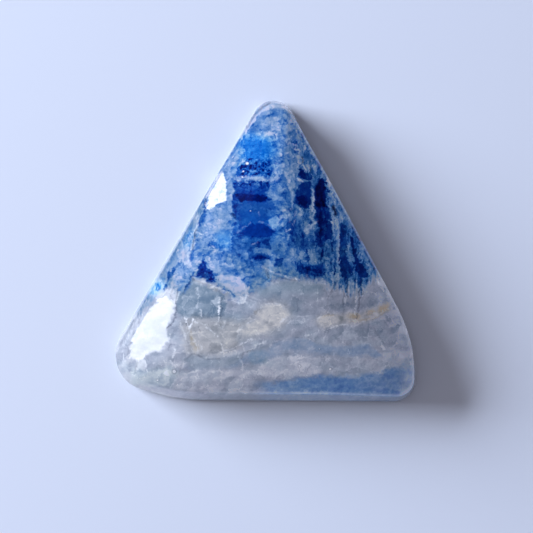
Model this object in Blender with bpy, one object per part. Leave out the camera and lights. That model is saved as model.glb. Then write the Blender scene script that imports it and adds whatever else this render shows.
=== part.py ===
"""A triangular cabochon of banded blue and white scheelite: one solid polished stone.

The stone lies on its flat back. X runs across its long edge, Y points to its tip and
Z points up out of the dome. The origin is the middle of the box's bottom face.
"""

import math

import bmesh
import bpy
from mathutils import Vector

# Driving dimensions, in metres
MM = 0.001
THICKNESS = 5.8 * MM
WALL_HEIGHT = 2.2 * MM
WALL_LEAN = 1.0 * MM
EDGE_BREAK = 0.35 * MM
SHOULDER_RADIUS = 0.6 * MM

# The outline at its widest, as a polygon run anticlockwise from the tip. Each corner
# is X, Y and the radius that it is ground to.
OUTLINE = {
    "tip": (0.90 * MM, 17.47 * MM, 2.23 * MM),
    "left_corner": (-16.58 * MM, -12.35 * MM, 3.46 * MM),
    "long_edge_bow": (-9.11 * MM, -14.84 * MM, 17.9 * MM),
    "right_corner": (15.19 * MM, -15.08 * MM, 2.28 * MM),
    "right_side_bow": (14.98 * MM, -8.81 * MM, 14.2 * MM),
}

# The dome: where it is highest, how steeply it meets the shoulder, how softly the
# slopes above the sides run into each other, how full it is, and how fast it fills
# out from the rounded corners
CROWN = (0.0, -3.15 * MM)
DOME_EDGE_SLOPE = math.radians(46)
DOME_BLEND = 1.6
DOME_FULLNESS = 1.2
CORNER_FILL = 4
LEAST_REACH = 1e-9

# Fineness of the mesh
OUTLINE_POINTS = 132
SHOULDER_RINGS = 3
DOME_RINGS = 22
SHARP_EDGE = math.radians(40)

STONE_COLOUR = (0.42, 0.55, 0.78, 1.0)
STONE_ROUGHNESS = 0.15


def clear_scene():
    for old in list(bpy.data.objects):
        bpy.data.objects.remove(old)


def corner_arc(before, corner, after, radius):
    """The centre of a corner's arc, and the points where the straight sides meet it."""
    towards_before = (before - corner).normalized()
    towards_after = (after - corner).normalized()
    half_angle = towards_before.angle(towards_after) / 2
    reach = radius / math.tan(half_angle)
    middle = (towards_before + towards_after).normalized()
    centre = corner + middle * (radius / math.sin(half_angle))
    return centre, corner + towards_before * reach, corner + towards_after * reach


def outline_pieces():
    """The outline as arcs and straight runs, each with its kind, length and place."""
    corners = [Vector((x, y)) for x, y, _ in OUTLINE.values()]
    radii = [radius for _, _, radius in OUTLINE.values()]
    count = len(corners)
    arcs = [
        corner_arc(corners[i - 1], corners[i], corners[(i + 1) % count], radii[i])
        for i in range(count)
    ]
    pieces = []
    for i, (centre, start, end) in enumerate(arcs):
        first = math.atan2(start.y - centre.y, start.x - centre.x)
        last = math.atan2(end.y - centre.y, end.x - centre.x)
        sweep = (last - first) % (2 * math.pi)
        pieces.append(("arc", sweep * radii[i], centre, radii[i], first))
        run = arcs[(i + 1) % count][1] - end
        pieces.append(("line", run.length, end, run.normalized(), None))
    return pieces


def outline_points(count):
    """Evenly spaced (point, outward direction) pairs, anticlockwise."""
    pieces = outline_pieces()
    total = sum(piece[1] for piece in pieces)
    found = []
    for step in range(count):
        along = total * step / count
        for kind, length, origin, shape, first in pieces:
            if along <= length:
                break
            along -= length
        if kind == "arc":
            angle = first + along / shape
            outward = Vector((math.cos(angle), math.sin(angle)))
            found.append((origin + outward * shape, outward))
        else:
            found.append((origin + shape * along, Vector((shape.y, -shape.x))))
    return found


def edge_profile():
    """(inset, height) up the edge: the broken foot, the leaning wall, the shoulder."""
    profile = [(EDGE_BREAK, 0.0), (0.0, EDGE_BREAK)]
    wall_slope = math.atan2(WALL_HEIGHT - EDGE_BREAK, WALL_LEAN)
    for step in range(SHOULDER_RINGS + 1):
        slope = wall_slope + (DOME_EDGE_SLOPE - wall_slope) * step / SHOULDER_RINGS
        inset = WALL_LEAN + SHOULDER_RADIUS * (math.sin(wall_slope) - math.sin(slope))
        height = WALL_HEIGHT + SHOULDER_RADIUS * (math.cos(slope) - math.cos(wall_slope))
        profile.append((inset, height))
    return profile


def wall_rings(outline):
    return [
        [(point - outward * inset, height) for point, outward in outline]
        for inset, height in edge_profile()
    ]


def dome_swell(point, inset):
    """A smooth mean of the point's distances to the sides, drawn in by the inset."""
    corners = [Vector((x, y)) for x, y, _ in OUTLINE.values()]
    total = 0.0
    for corner, after in zip(corners, corners[1:] + corners[:1]):
        along = (after - corner).normalized()
        reach = along.cross(point - corner) - inset
        total += max(reach, LEAST_REACH) ** -DOME_BLEND
    return total ** (-1 / DOME_BLEND)


def dome_rings(shoulder, inset):
    """Copies of the shoulder drawn in towards the crown, each point at its swell."""
    crown = Vector(CROWN)
    base = shoulder[0][1]
    most = dome_swell(crown, inset)
    least = [dome_swell(point, inset) for point, _ in shoulder]
    rings = []
    for step in range(1, DOME_RINGS):
        scale = 1 - step / DOME_RINGS
        ring = []
        for (edge, _), low in zip(shoulder, least):
            point = crown.lerp(edge, scale)
            share = (dome_swell(point, inset) - low * scale**CORNER_FILL) / most
            swell = 1 - max(1 - share, 0.0) ** DOME_FULLNESS
            ring.append((point, base + (THICKNESS - base) * swell))
        rings.append(ring)
    return rings


def build_stone():
    outline = outline_points(OUTLINE_POINTS)
    rings = wall_rings(outline)
    rings += dome_rings(rings[-1], edge_profile()[-1][0])

    # the middle of the outline's box becomes the origin
    xs = [point.x for point, _ in outline]
    ys = [point.y for point, _ in outline]
    middle = Vector(((min(xs) + max(xs)) / 2, (min(ys) + max(ys)) / 2))

    stone = bmesh.new()
    made = [
        [stone.verts.new((*(point - middle), height)) for point, height in ring]
        for ring in rings
    ]
    top = stone.verts.new((*(Vector(CROWN) - middle), THICKNESS))
    stone.faces.new(reversed(made[0]))
    for i in range(OUTLINE_POINTS):
        after = (i + 1) % OUTLINE_POINTS
        for lower, upper in zip(made, made[1:]):
            stone.faces.new((lower[i], lower[after], upper[after], upper[i]))
        stone.faces.new((made[-1][i], made[-1][after], top))
    mesh = bpy.data.meshes.new("scheelite_cabochon")
    stone.to_mesh(mesh)
    stone.free()
    mesh.shade_smooth()
    mesh.set_sharp_from_angle(angle=SHARP_EDGE)
    return mesh


def polished_stone_material():
    material = bpy.data.materials.new("polished_scheelite")
    material.use_nodes = True
    shader = material.node_tree.nodes["Principled BSDF"]
    shader.inputs["Base Color"].default_value = STONE_COLOUR
    shader.inputs["Roughness"].default_value = STONE_ROUGHNESS
    shader.inputs["Metallic"].default_value = 0.0
    material.diffuse_color = STONE_COLOUR
    return material


def main():
    clear_scene()
    cabochon = bpy.data.objects.new("scheelite_cabochon", build_stone())
    cabochon.data.materials.append(polished_stone_material())
    bpy.context.scene.collection.objects.link(cabochon)


main()
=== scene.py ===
import math
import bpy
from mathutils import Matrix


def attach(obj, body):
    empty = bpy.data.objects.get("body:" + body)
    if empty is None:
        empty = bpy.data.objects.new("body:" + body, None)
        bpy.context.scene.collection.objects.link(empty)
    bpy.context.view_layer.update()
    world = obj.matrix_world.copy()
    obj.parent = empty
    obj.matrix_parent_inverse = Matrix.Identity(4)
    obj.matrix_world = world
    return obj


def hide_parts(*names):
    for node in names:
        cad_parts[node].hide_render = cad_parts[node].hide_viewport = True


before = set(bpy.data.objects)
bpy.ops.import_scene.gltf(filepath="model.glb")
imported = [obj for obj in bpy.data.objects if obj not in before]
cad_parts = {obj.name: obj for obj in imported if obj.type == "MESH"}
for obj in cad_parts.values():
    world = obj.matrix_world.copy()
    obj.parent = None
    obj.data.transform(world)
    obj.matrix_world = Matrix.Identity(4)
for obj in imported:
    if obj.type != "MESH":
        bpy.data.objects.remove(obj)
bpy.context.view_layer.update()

from types import SimpleNamespace

import bpy
import numpy as np
from mathutils import Matrix, Vector
from mathutils.geometry import delaunay_2d_cdt

# Lengths below are in millimetres and turned to metres where a mesh or light is made
mm = 0.001

# The stone's shape, the same values that the CAD solid is cut to
stoneShape = {
    "thickness": 5.8,
    "wallHeight": 2.2,
    "wallLean": 1.0,
    "edgeBreak": 0.35,
    "shoulderRadius": 0.6,
    # corners anticlockwise from the tip: x, y and the radius each is ground to
    "corners": [
        (0.90, 17.47, 2.23), (-16.58, -12.35, 3.46), (-9.11, -14.84, 17.9), (15.19, -15.08, 2.28),
        (14.98, -8.81, 14.2),
    ],
    "crown": (0.0, -3.15),
    "domeEdgeSlope": math.radians(46),
    "domeBlend": 1.6,
    "domeFullness": 1.05,
    "cornerFill": 4,
    "leastReach": 1e-9,
    # how much of the wall's lean is left at each angle round the crown, in degrees
    "leanShares": [
        (0, 0.25), (60, 0.25), (80, 0.40), (90, 0.60), (105, 0.50), (114, 0.32), (130, 0.32), (138, 0.80),
        (150, 0.92), (200, 0.95), (213, 0.90), (240, 0.75), (300, 0.70), (318, 0.55), (335, 0.38),
        (350, 0.27), (360, 0.25),
    ],
}

# How finely the stone is meshed
stoneMesh = {
    "topGrid": 0.085,
    "backGrid": 0.35,
    # how far the grid's points keep from the line round them, in grid steps
    "gridClearance": 0.6,
    "weldDistance": 1e-7,
    "outlinePoints": 720,
    "footRings": 3,
    "wallRings": 8,
    "shoulderRings": 5,
}


# The centre, start and end of the arc that rounds a corner
def cornerArc(before, corner, after, radius):
    towardsBefore = (before - corner).normalized()
    towardsAfter = (after - corner).normalized()
    halfAngle = towardsBefore.angle(towardsAfter) / 2
    reach = radius / math.tan(halfAngle)
    middle = (towardsBefore + towardsAfter).normalized()
    centre = corner + middle * (radius / math.sin(halfAngle))
    return centre, corner + towardsBefore * reach, corner + towardsAfter * reach


# Evenly spaced points round the stone at its widest, with the outward direction at each
def outlinePoints(count):
    corners = [Vector((x, y)) for x, y, radius in stoneShape["corners"]]
    radii = [radius for x, y, radius in stoneShape["corners"]]
    total = len(corners)
    arcs = [cornerArc(corners[i - 1], corners[i], corners[(i + 1) % total], radii[i]) for i in range(total)]
    pieces = []
    for i, (centre, start, end) in enumerate(arcs):
        first = math.atan2(start.y - centre.y, start.x - centre.x)
        last = math.atan2(end.y - centre.y, end.x - centre.x)
        pieces.append(("arc", (last - first) % (2 * math.pi) * radii[i], centre, radii[i], first))
        run = arcs[(i + 1) % total][1] - end
        pieces.append(("line", run.length, end, run.normalized(), None))
    whole = sum(piece[1] for piece in pieces)
    points, outwards = [], []
    for step in range(count):
        along = whole * step / count
        for kind, length, origin, shape, first in pieces:
            if along <= length:
                break
            along -= length
        if kind == "arc":
            angle = first + along / shape
            outward = Vector((math.cos(angle), math.sin(angle)))
            points.append(origin + outward * shape)
        else:
            outward = Vector((shape.y, -shape.x))
            points.append(origin + shape * along)
        outwards.append(outward)
    return np.array(points), np.array(outwards)


# Inset and height up the edge: the broken foot, the leaning wall, then the shoulder's arc
def edgeProfile():
    s = stoneShape
    foot = [(s["edgeBreak"] * (1 - k / stoneMesh["footRings"]), s["edgeBreak"] * k / stoneMesh["footRings"])
            for k in range(stoneMesh["footRings"])]
    rise = s["wallHeight"] - s["edgeBreak"]
    wall = [(s["wallLean"] * k / stoneMesh["wallRings"], s["edgeBreak"] + rise * k / stoneMesh["wallRings"])
            for k in range(stoneMesh["wallRings"])]
    wallSlope = math.atan2(rise, s["wallLean"])
    shoulder = []
    for k in range(stoneMesh["shoulderRings"] + 1):
        slope = wallSlope + (s["domeEdgeSlope"] - wallSlope) * k / stoneMesh["shoulderRings"]
        shoulder.append((s["wallLean"] + s["shoulderRadius"] * (math.sin(wallSlope) - math.sin(slope)),
                         s["wallHeight"] + s["shoulderRadius"] * (math.cos(slope) - math.cos(wallSlope))))
    return foot + wall + shoulder


# The wall leans less in some places, as the real stone's does
def leanShare(x, y):
    crownX, crownY = stoneShape["crown"]
    angle = np.degrees(np.arctan2(y - crownY, x - crownX))
    angles, shares = zip(*stoneShape["leanShares"])
    return np.interp(angle, angles, shares, period=360)


# A smooth mean of the distances from the sides, each drawn in by the inset
def domeSwell(x, y, inset):
    corners = [Vector((cx, cy)) for cx, cy, radius in stoneShape["corners"]]
    total = 0
    for corner, after in zip(corners, corners[1:] + corners[:1]):
        along = (after - corner).normalized()
        reach = along.x * (y - corner.y) - along.y * (x - corner.x) - inset * leanShare(x, y)
        total = total + np.maximum(reach, stoneShape["leastReach"]) ** -stoneShape["domeBlend"]
    return total ** (-1 / stoneShape["domeBlend"])


# The dome's height over any point inside the shoulder
def domeHeight(x, y, shoulder, inset, base):
    s = stoneShape
    crownX, crownY = s["crown"]
    around = np.arctan2(shoulder[:, 1] - crownY, shoulder[:, 0] - crownX)
    order = np.argsort(around)
    reach = np.hypot(shoulder[:, 0] - crownX, shoulder[:, 1] - crownY)[order]
    least = domeSwell(shoulder[:, 0], shoulder[:, 1], inset)[order]
    angle = np.arctan2(y - crownY, x - crownX)
    scale = np.hypot(x - crownX, y - crownY) / np.interp(angle, around[order], reach, period=2 * math.pi)
    low = np.interp(angle, around[order], least, period=2 * math.pi)
    most = domeSwell(crownX, crownY, inset)
    share = (domeSwell(x, y, inset) - low * np.clip(scale, 0, 1) ** s["cornerFill"]) / most
    swell = 1 - np.maximum(1 - share, 0) ** s["domeFullness"]
    return base + (s["thickness"] - base) * swell


# How far each point is from a closed line, measured out from the crown
def reachLeft(x, y, line):
    crownX, crownY = stoneShape["crown"]
    around = np.arctan2(line[:, 1] - crownY, line[:, 0] - crownX)
    order = np.argsort(around)
    reach = np.hypot(line[:, 0] - crownX, line[:, 1] - crownY)[order]
    angle = np.arctan2(y - crownY, x - crownX)
    return np.interp(angle, around[order], reach, period=2 * math.pi) - np.hypot(x - crownX, y - crownY)


# A triangle grid of points inside a closed line, kept a little clear of it
def gridInside(line, step):
    low, high = line.min(0), line.max(0)
    rows = np.arange(low[1] + step / 2, high[1], step * math.sqrt(3) / 2)
    found = []
    for k, y in enumerate(rows):
        x = np.arange(low[0] + (k % 2) * step / 2, high[0], step)
        found.append(np.stack([x, np.full_like(x, y)], 1))
    points = np.concatenate(found)
    return points[reachLeft(points[:, 0], points[:, 1], line) > step * stoneMesh["gridClearance"]]


# Triangles over a closed line and the points inside it
def coverLine(line, inside):
    points = [Vector(p) for p in np.concatenate([line, inside])]
    edges = [(k, (k + 1) % len(line)) for k in range(len(line))]
    return delaunay_2d_cdt(points, edges, [], 1, stoneMesh["weldDistance"])[2]


# All of the stone's surface: points in millimetres, and faces
def stoneSurface():
    outline, outward = outlinePoints(stoneMesh["outlinePoints"])
    middle = (outline.min(0) + outline.max(0)) / 2
    profile = edgeProfile()
    count = len(outline)
    share = leanShare(outline[:, 0], outline[:, 1])[:, None]
    rings = []
    for k, (inset, height) in enumerate(profile):
        drawnIn = inset if k < stoneMesh["footRings"] else inset * share
        rings.append(np.column_stack([outline - outward * drawnIn, np.full(count, height)]))
    inset, base = profile[-1]
    shoulder = rings[-1][:, :2]
    topInside = gridInside(shoulder, stoneMesh["topGrid"])
    topHeight = domeHeight(topInside[:, 0], topInside[:, 1], shoulder, inset, base)
    backInside = gridInside(rings[0][:, :2], stoneMesh["backGrid"])

    points = np.concatenate(rings + [np.column_stack([topInside, topHeight]),
                                     np.column_stack([backInside, np.zeros(len(backInside))])])
    faces = []
    for k in range(len(rings) - 1):
        for i in range(count):
            j = (i + 1) % count
            faces.append((k * count + i, k * count + j, (k + 1) * count + j, (k + 1) * count + i))
    lastRing, topStart = (len(rings) - 1) * count, len(rings) * count
    backStart = topStart + len(topInside)
    for face in coverLine(shoulder, topInside):
        faces.append([lastRing + i if i < count else topStart + i - count for i in face])
    for face in coverLine(rings[0][:, :2], backInside):
        faces.append([i if i < count else backStart + i - count for i in reversed(face)])
    points[:, :2] -= middle
    return points, faces


# The stone's colours in the window's light, as red, green and blue of 255, each at its place on a ramp
stoneColours = {
    "blue": [
        (0.0, (170, 176, 212)), (0.12, (138, 160, 202)), (0.25, (110, 143, 194)), (0.4, (74, 116, 178)),
        (0.55, (42, 94, 170)), (0.7, (18, 71, 155)), (0.85, (5, 45, 134)), (1.0, (2, 20, 96)),
        (1.2, (3, 6, 46)),
    ],
    "azure": [
        (0.0, (170, 204, 234)), (0.2, (118, 174, 222)), (0.4, (68, 142, 214)), (0.55, (34, 116, 204)),
        (0.7, (8, 88, 184)), (0.85, (3, 52, 148)), (1.0, (2, 22, 98)), (1.2, (2, 6, 46)),
    ],
    "slate": [
        (0.0, (150, 160, 186)), (0.2, (112, 137, 171)), (0.4, (75, 113, 158)), (0.55, (46, 92, 152)),
        (0.7, (22, 68, 128)), (0.85, (8, 42, 106)), (1.0, (4, 22, 80)), (1.2, (4, 8, 40)),
    ],
    "pale": [
        (0.0, (90, 106, 136)), (0.2, (114, 126, 150)), (0.45, (139, 148, 172)), (0.7, (164, 172, 195)),
        (1.0, (198, 204, 223)), (1.3, (230, 234, 246)),
    ],
    "cream": [
        (0.0, (100, 108, 122)), (0.2, (122, 128, 139)), (0.45, (147, 151, 163)), (0.7, (169, 172, 183)),
        (1.0, (200, 200, 205)), (1.3, (228, 227, 226)),
    ],
    "teal": [
        (0.0, (86, 114, 142)), (0.2, (106, 131, 157)), (0.45, (130, 151, 175)), (0.7, (156, 174, 196)),
        (1.0, (192, 206, 220)), (1.3, (226, 234, 244)),
    ],
    "ochre": (150, 138, 112),
    # white of the veins, also used for the painted highlights and glints
    "frostAndHighlights": (214, 222, 242),
    "ink": (22, 34, 72),
    # the light that these colours were judged under, divided out again
    "light": (0.688, 0.756, 0.956),
}

# Marks are placed in millimetres, u to the right and v towards the tip, as seen from above
stonePattern = {
    # the blue ground's lower edge, left to right
    "blueFoot": [
        (-16, -6.8), (-12.4, -6.5), (-11.5, -5.6), (-11.0, -4.6), (-10.4, -3.9), (-9.5, -3.8),
        (-8.6, -4.5), (-7.9, -4.0), (-7.2, -2.8), (-6.0, -3.3), (-4.9, -3.6), (-4.2, -4.3), (-3.2, -5.0),
        (-2.2, -4.8), (-1.2, -4.0), (0.6, -3.3), (2.2, -3.0), (3.3, -2.9), (5.9, -3.2), (6.3, -3.7),
        (8.3, -4.2), (9.6, -4.0), (10.4, -3.5), (11.6, -2.8), (16, -2.4),
    ],
    # blue grounds laid first: x, y, half width, half height, turn, depth, strength, softness
    "blueGrounds": [
        (-5.6, 1.6, 2.2, 3.6, -14, 0.37, 0.9, 0.3), (-1.1, 2.2, 2.2, 3.6, 0, 0.69, 0.95, 0.2),
        (-2.3, -0.9, 1.2, 2.2, 0, 0.57, 0.8, 0.5), (4.2, 0.4, 1.8, 1.8, 0, 0.60, 0.85, 0.4),
        (2.2, 0.2, 1.0, 2.6, 0, 0.50, 0.7, 0.5), (8.6, -0.6, 1.9, 2.8, 12, 0.66, 0.9, 0.3),
        (1.0, 12.6, 2.6, 1.5, 0, 0.33, 0.8, 0.5), (-3.6, 8.4, 1.0, 2.2, -25, 0.27, 0.85, 0.4),
        (2.0, 9.6, 1.3, 1.6, 0, 0.46, 0.8, 0.5), (-1.6, -3.1, 1.8, 1.1, 0, 0.46, 0.85, 0.4),
        (4.6, -2.6, 1.8, 0.6, 0, 0.42, 0.7, 0.5), (2.3, 4.6, 0.9, 1.4, 0, 0.54, 0.85, 0.4),
    ],
    # where the blue lies smooth, without grain: x, y, half width, half height, turn, strength, softness
    "calmPlaces": [
        (-1.1, 3.9, 1.9, 1.3, 0, 0.65, 0.4), (-0.9, 2.1, 1.7, 0.8, 0, 0.6, 0.4),
        (-0.9, 10.3, 1.3, 0.7, 0, 0.35, 0.4), (-0.9, 6.1, 1.4, 0.4, 0, 0.4, 0.5),
        (4.0, 5.9, 0.7, 1.0, 0, 0.5, 0.4), (-4.4, 1.6, 0.8, 0.7, 0, 0.5, 0.5),
        (-1.0, 0.6, 1.6, 0.8, 0, 0.4, 0.5),
    ],
    # broad places where the blue is deeper or lighter than its marks: x, y, half width, half height, change
    "depthDrifts": [
        (3.2, 1.4, 2.5, 4.6, 0.09), (5.4, 0.6, 1.4, 3.4, 0.07), (-5.6, -3.7, 1.0, 0.8, 0.08),
        (2.3, 8.1, 1.2, 1.2, 0.08), (-0.7, 0.0, 2.7, 1.1, 0.12), (-3.7, 4.1, 0.8, 1.4, 0.14),
        (-3.7, -1.8, 1.1, 1.1, 0.14), (10.2, -3.4, 0.9, 0.9, 0.1), (-1.6, 8.1, 1.0, 0.9, 0.05),
        (3.4, -9.9, 2.2, 0.9, -0.05),
    ],
    # the same for the grey ground's paleness
    "paleDrifts": [
        (-5.6, -9.9, 3.4, 1.1, 0.12), (-6.6, -12.0, 4.2, 1.0, 0.14), (2.4, -9.9, 2.4, 1.0, 0.08),
        (-9.8, -9.9, 0.9, 1.2, 0.1), (-9.7, -12.0, 1.0, 1.0, 0.08), (-1.6, -9.9, 0.9, 1.0, 0.12),
        (-6.8, -13.4, 2.4, 0.6, 0.05),
    ],
    # blue shapes: corners, depth, strength, softness
    "blueShapes": [
        # tip
        ([(-2.6, 10.9), (-1.9, 11.9), (-1.3, 13.1), (-0.4, 14.0), (0.4, 14.3), (1.3, 14.42), (2.4, 14.0),
          (3.2, 13.2), (3, 17), (-3, 17)], 0.10, 0.95, 0.1),
        ([(-0.4, 13.95), (0.6, 14.25), (1.4, 14.35), (2.3, 13.95), (2.6, 13.4), (1.6, 13.8),
          (0.6, 13.9)], 0.46, 0.9, 0.1),
        ([(0.5, 13.4), (1.1, 13.3), (1.15, 12.1), (0.45, 12.2)], 0.14, 0.8, 0.15),
        ([(1.5, 13.4), (2.2, 13.3), (2.1, 12.7), (1.6, 12.8)], 0.52, 0.8, 0.15),
        ([(1.0, 11.9), (1.3, 11.9), (1.35, 11.0), (1.0, 11.0)], 0.55, 0.8, 0.12),
        ([(2.1, 12.1), (3.0, 12.0), (3.1, 11.2), (2.2, 11.1)], 0.46, 0.8, 0.2),
        ([(-1.0, 13.0), (-0.3, 13.2), (-0.4, 12.4), (-1.0, 12.3)], 0.44, 0.7, 0.2),
        ([(-0.3, 12.0), (0.8, 11.9), (0.8, 11.6), (-0.2, 11.65)], 0.08, 0.7, 0.12),
        # two bright blocks
        ([(-2.24, 11.1), (-0.5, 11.2), (0.41, 11.0), (0.51, 9.56), (0.3, 9.1), (-0.6, 9.1), (-1.1, 9.2),
          (-2.14, 9.1), (-2.34, 10.2)], 0.64, 1.0, 0.14),
        ([(-2.24, 9.05), (-0.5, 9.26), (0.5, 9.15), (0.72, 8.5), (0.6, 7.5), (-0.5, 7.4), (-1.5, 7.5),
          (-2.5, 7.4), (-3.05, 7.6), (-2.95, 8.4)], 0.74, 1.0, 0.12),
        ([(-2.0, 8.9), (-0.4, 9.1), (0.2, 8.6), (-0.2, 7.9), (-1.6, 8.0)], 0.86, 0.7, 0.2),
        # the dark block under the vein, and the pinkish strip at its left
        ([(-3.26, 6.9), (-1.94, 7.0), (-0.6, 6.9), (0.4, 6.8), (0.5, 6.1), (-0.1, 5.9), (0.1, 5.3),
          (0.4, 5.1), (-0.1, 4.8), (-1.5, 4.7), (-2.75, 4.8), (-3.5, 5.0), (-3.3, 6.1)], 0.83, 1.0, 0.1),
        ([(-3.2, 5.7), (-0.2, 5.6), (0.3, 5.1), (-0.5, 4.9), (-2.9, 4.9)], 1.08, 0.95, 0.16),
        ([(-3.4, 4.8), (0.3, 4.8), (0.4, 3.4), (-0.2, 2.7), (-2.6, 2.6), (-3.4, 3.4)], 0.74, 0.85, 0.25),
        ([(0.2, 4.9), (0.9, 4.9), (1.0, 4.0), (0.3, 4.1)], 0.74, 0.7, 0.15),
        ([(-4.08, 6.1), (-3.57, 6.7), (-3.25, 6.1), (-3.5, 5.0), (-3.4, 3.2), (-3.9, 3.2),
          (-4.1, 5.0)], 0.18, 0.8, 0.12),
        # right of the blocks
        ([(1.33, 8.1), (1.94, 8.1), (2.25, 7.3), (2.55, 6.6), (2.15, 6.1), (1.5, 6.3), (1.1, 6.6),
          (1.0, 7.1)], 0.57, 0.95, 0.15),
        ([(1.05, 8.5), (1.65, 8.8), (2.25, 8.6), (2.75, 8.9), (2.85, 7.6), (2.85, 6.3), (2.75, 4.8),
          (2.45, 4.5), (2.4, 5.6), (2.15, 6.5), (1.75, 7.5), (1.45, 8.0), (1.2, 7.7)], 0.30, 0.9, 0.15),
        ([(0.25, 6.4), (0.85, 5.7), (1.65, 5.2), (2.05, 4.4), (1.35, 4.3), (0.55, 4.8),
          (0.15, 5.5)], 0.36, 0.85, 0.15),
        ([(1.65, 4.2), (1.95, 4.2), (2.1, 2.6), (1.8, 2.4)], 0.34, 0.85, 0.12),
        ([(3.88, 9.97), (4.5, 10.2), (4.6, 9.36), (4.3, 8.75), (3.88, 8.75),
          (3.68, 9.15)], 0.68, 1.0, 0.1),
        ([(3.17, 8.24), (3.57, 8.34), (4.08, 7.9), (4.5, 8.1), (4.5, 7.2), (3.88, 7.1),
          (3.27, 7.4)], 0.95, 1.0, 0.1),
        ([(3.47, 6.9), (4.5, 7.1), (4.6, 6.1), (4.5, 4.77), (3.88, 4.15), (2.96, 4.66), (2.86, 5.5),
          (3.17, 6.3)], 0.87, 1.0, 0.1),
        ([(4.5, 8.6), (5.1, 7.8), (5.1, 6.4), (4.7, 6.2), (4.5, 8.0)], 0.72, 0.85, 0.12),
        ([(4.5, 6.3), (4.8, 6.3), (4.8, 2.8), (4.55, 2.8)], 0.26, 0.8, 0.1),
        ([(5.06, 7.4), (5.5, 7.5), (5.93, 6.65), (6.36, 6.0), (6.15, 5.35), (6.36, 3.94), (6.5, 2.3),
          (6.7, 1.66), (5.93, 0.9), (5.28, 1.44), (5.06, 3.4), (4.74, 4.26),
          (4.84, 6.0)], 0.88, 1.0, 0.12),
        ([(5.1, 7.2), (5.5, 7.3), (6.2, 6.0), (6.1, 5.0), (6.1, 4.3), (4.9, 4.4),
          (4.9, 6.0)], 1.12, 1.0, 0.2),
        ([(5.7, 8.0), (6.0, 7.0), (6.6, 5.9), (7.0, 5.0), (7.6, 3.0), (8.4, 3.4), (6.6, 7.2),
          (5.6, 9.0)], 0.26, 0.85, 0.15),
        ([(6.7, 6.0), (7.0, 5.9), (7.7, 4.1), (7.4, 3.9), (7.1, 4.9)], 0.66, 0.8, 0.12),
        ([(6.6, 3.8), (7.0, 3.6), (7.3, 2.8), (7.0, 2.0), (6.7, 2.6)], 0.26, 0.8, 0.12),
        # the dome-shaped patch and what lies about it
        ([(-3.0, 4.2), (0.2, 4.2), (0.4, 2.4), (-2.8, 2.0)], 0.76, 0.9, 0.25),
        ([(-2.35, 2.17), (-1.74, 2.62), (-0.8, 2.78), (0.1, 2.55), (0.87, 2.0), (0.56, 1.63), (0.1, 1.3),
          (-1.1, 1.3), (-2.35, 1.5), (-2.8, 1.78)], 0.92, 0.95, 0.16),
        ([(-0.05, 3.0), (0.45, 3.4), (1.05, 3.5), (1.25, 3.1), (0.95, 2.4), (0.65, 2.2),
          (0.35, 2.7)], 0.24, 0.95, 0.1),
        ([(0.45, 1.1), (1.25, 1.5), (2.05, 0.8), (2.45, -0.1), (3.15, -0.5), (2.95, -1.2), (2.15, -1.1),
          (1.35, -0.5), (0.85, -1.1), (0.45, -0.7)], 0.34, 0.85, 0.15),
        ([(1.5, 2.3), (2.2, 2.9), (3.1, 3.1), (3.2, 2.0), (2.9, 1.5), (2.8, 0.7), (2.5, 0.7),
          (2.3, 1.6)], 0.74, 0.95, 0.14),
        ([(2.8, 3.1), (3.7, 3.2), (3.5, 1.8), (2.9, 1.8)], 0.64, 0.9, 0.15),
        ([(3.9, 3.0), (5.0, 2.6), (4.8, 1.6), (3.9, 1.8)], 0.26, 0.75, 0.2),
        ([(0.8, 1.7), (1.6, 1.5), (1.8, 0.2), (1.0, 0.3)], 0.40, 0.75, 0.2),
        ([(3.9, 1.2), (5.0, 1.0), (4.9, 0.3), (4.0, 0.4)], 0.70, 0.6, 0.2),
        # left of the middle
        ([(-5.4, 4.4), (-4.2, 4.2), (-3.9, 2.9), (-4.6, 2.2), (-6.0, 1.6), (-6.3, 2.6)], 0.24, 0.75, 0.3),
        ([(-4.3, -0.8), (-2.8, -1.0), (-2.3, -2.6), (-3.2, -3.4), (-4.4, -3.0),
          (-4.9, -1.8)], 0.28, 0.8, 0.2),
        ([(-5.2, 1.9), (-3.6, 2.4), (-3.5, 0.2), (-5.0, 0.2)], 0.46, 0.85, 0.25),
        ([(-5.9, 0.9), (-5.0, 0.9), (-4.9, 0.2), (-5.8, 0.1)], 0.72, 0.8, 0.12),
        ([(-4.8, 0.7), (-4.2, 0.6), (-4.3, 0.1), (-4.8, 0.2)], 0.76, 0.8, 0.12),
        ([(-5.2, -0.2), (-4.4, -0.2), (-4.4, -1.4), (-5.2, -1.4)], 0.42, 0.8, 0.25),
        ([(-7.1, -2.1), (-6.3, -0.75), (-6.15, -1.0), (-6.0, -1.8), (-5.4, -2.1), (-4.95, -3.1),
          (-5.4, -3.2), (-6.0, -2.9), (-7.1, -2.6)], 0.92, 1.0, 0.1),
        ([(-5.7, -1.0), (-4.6, -1.1), (-4.5, -2.6), (-5.2, -2.3), (-5.8, -1.8)], 0.20, 0.85, 0.15),
        ([(-4.6, -1.5), (-2.6, -1.6), (-2.4, -2.8), (-4.4, -2.9)], 0.36, 0.8, 0.3),
        # under the dome-shaped patch
        ([(-1.28, 0.1), (-0.2, 0.25), (0.56, 0.02), (0.4, -0.5), (-0.5, -0.28),
          (-1.28, -0.28)], 0.26, 0.9, 0.12),
        ([(-1.58, -0.67), (-0.8, -0.47), (0.1, -0.67), (0.5, -0.82), (-0.5, -1.0),
          (-1.4, -1.0)], 0.88, 1.0, 0.1),
        ([(-1.2, -1.2), (0.1, -1.2), (0.1, -1.6), (-1.1, -1.6)], 0.62, 0.8, 0.12),
        ([(0.8, -0.75), (1.6, -0.8), (1.5, -1.7), (0.8, -1.7)], 0.84, 0.95, 0.12),
        ([(-0.2, -1.0), (0.7, -1.1), (0.8, -2.0), (0.0, -2.2)], 0.28, 0.8, 0.15),
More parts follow.
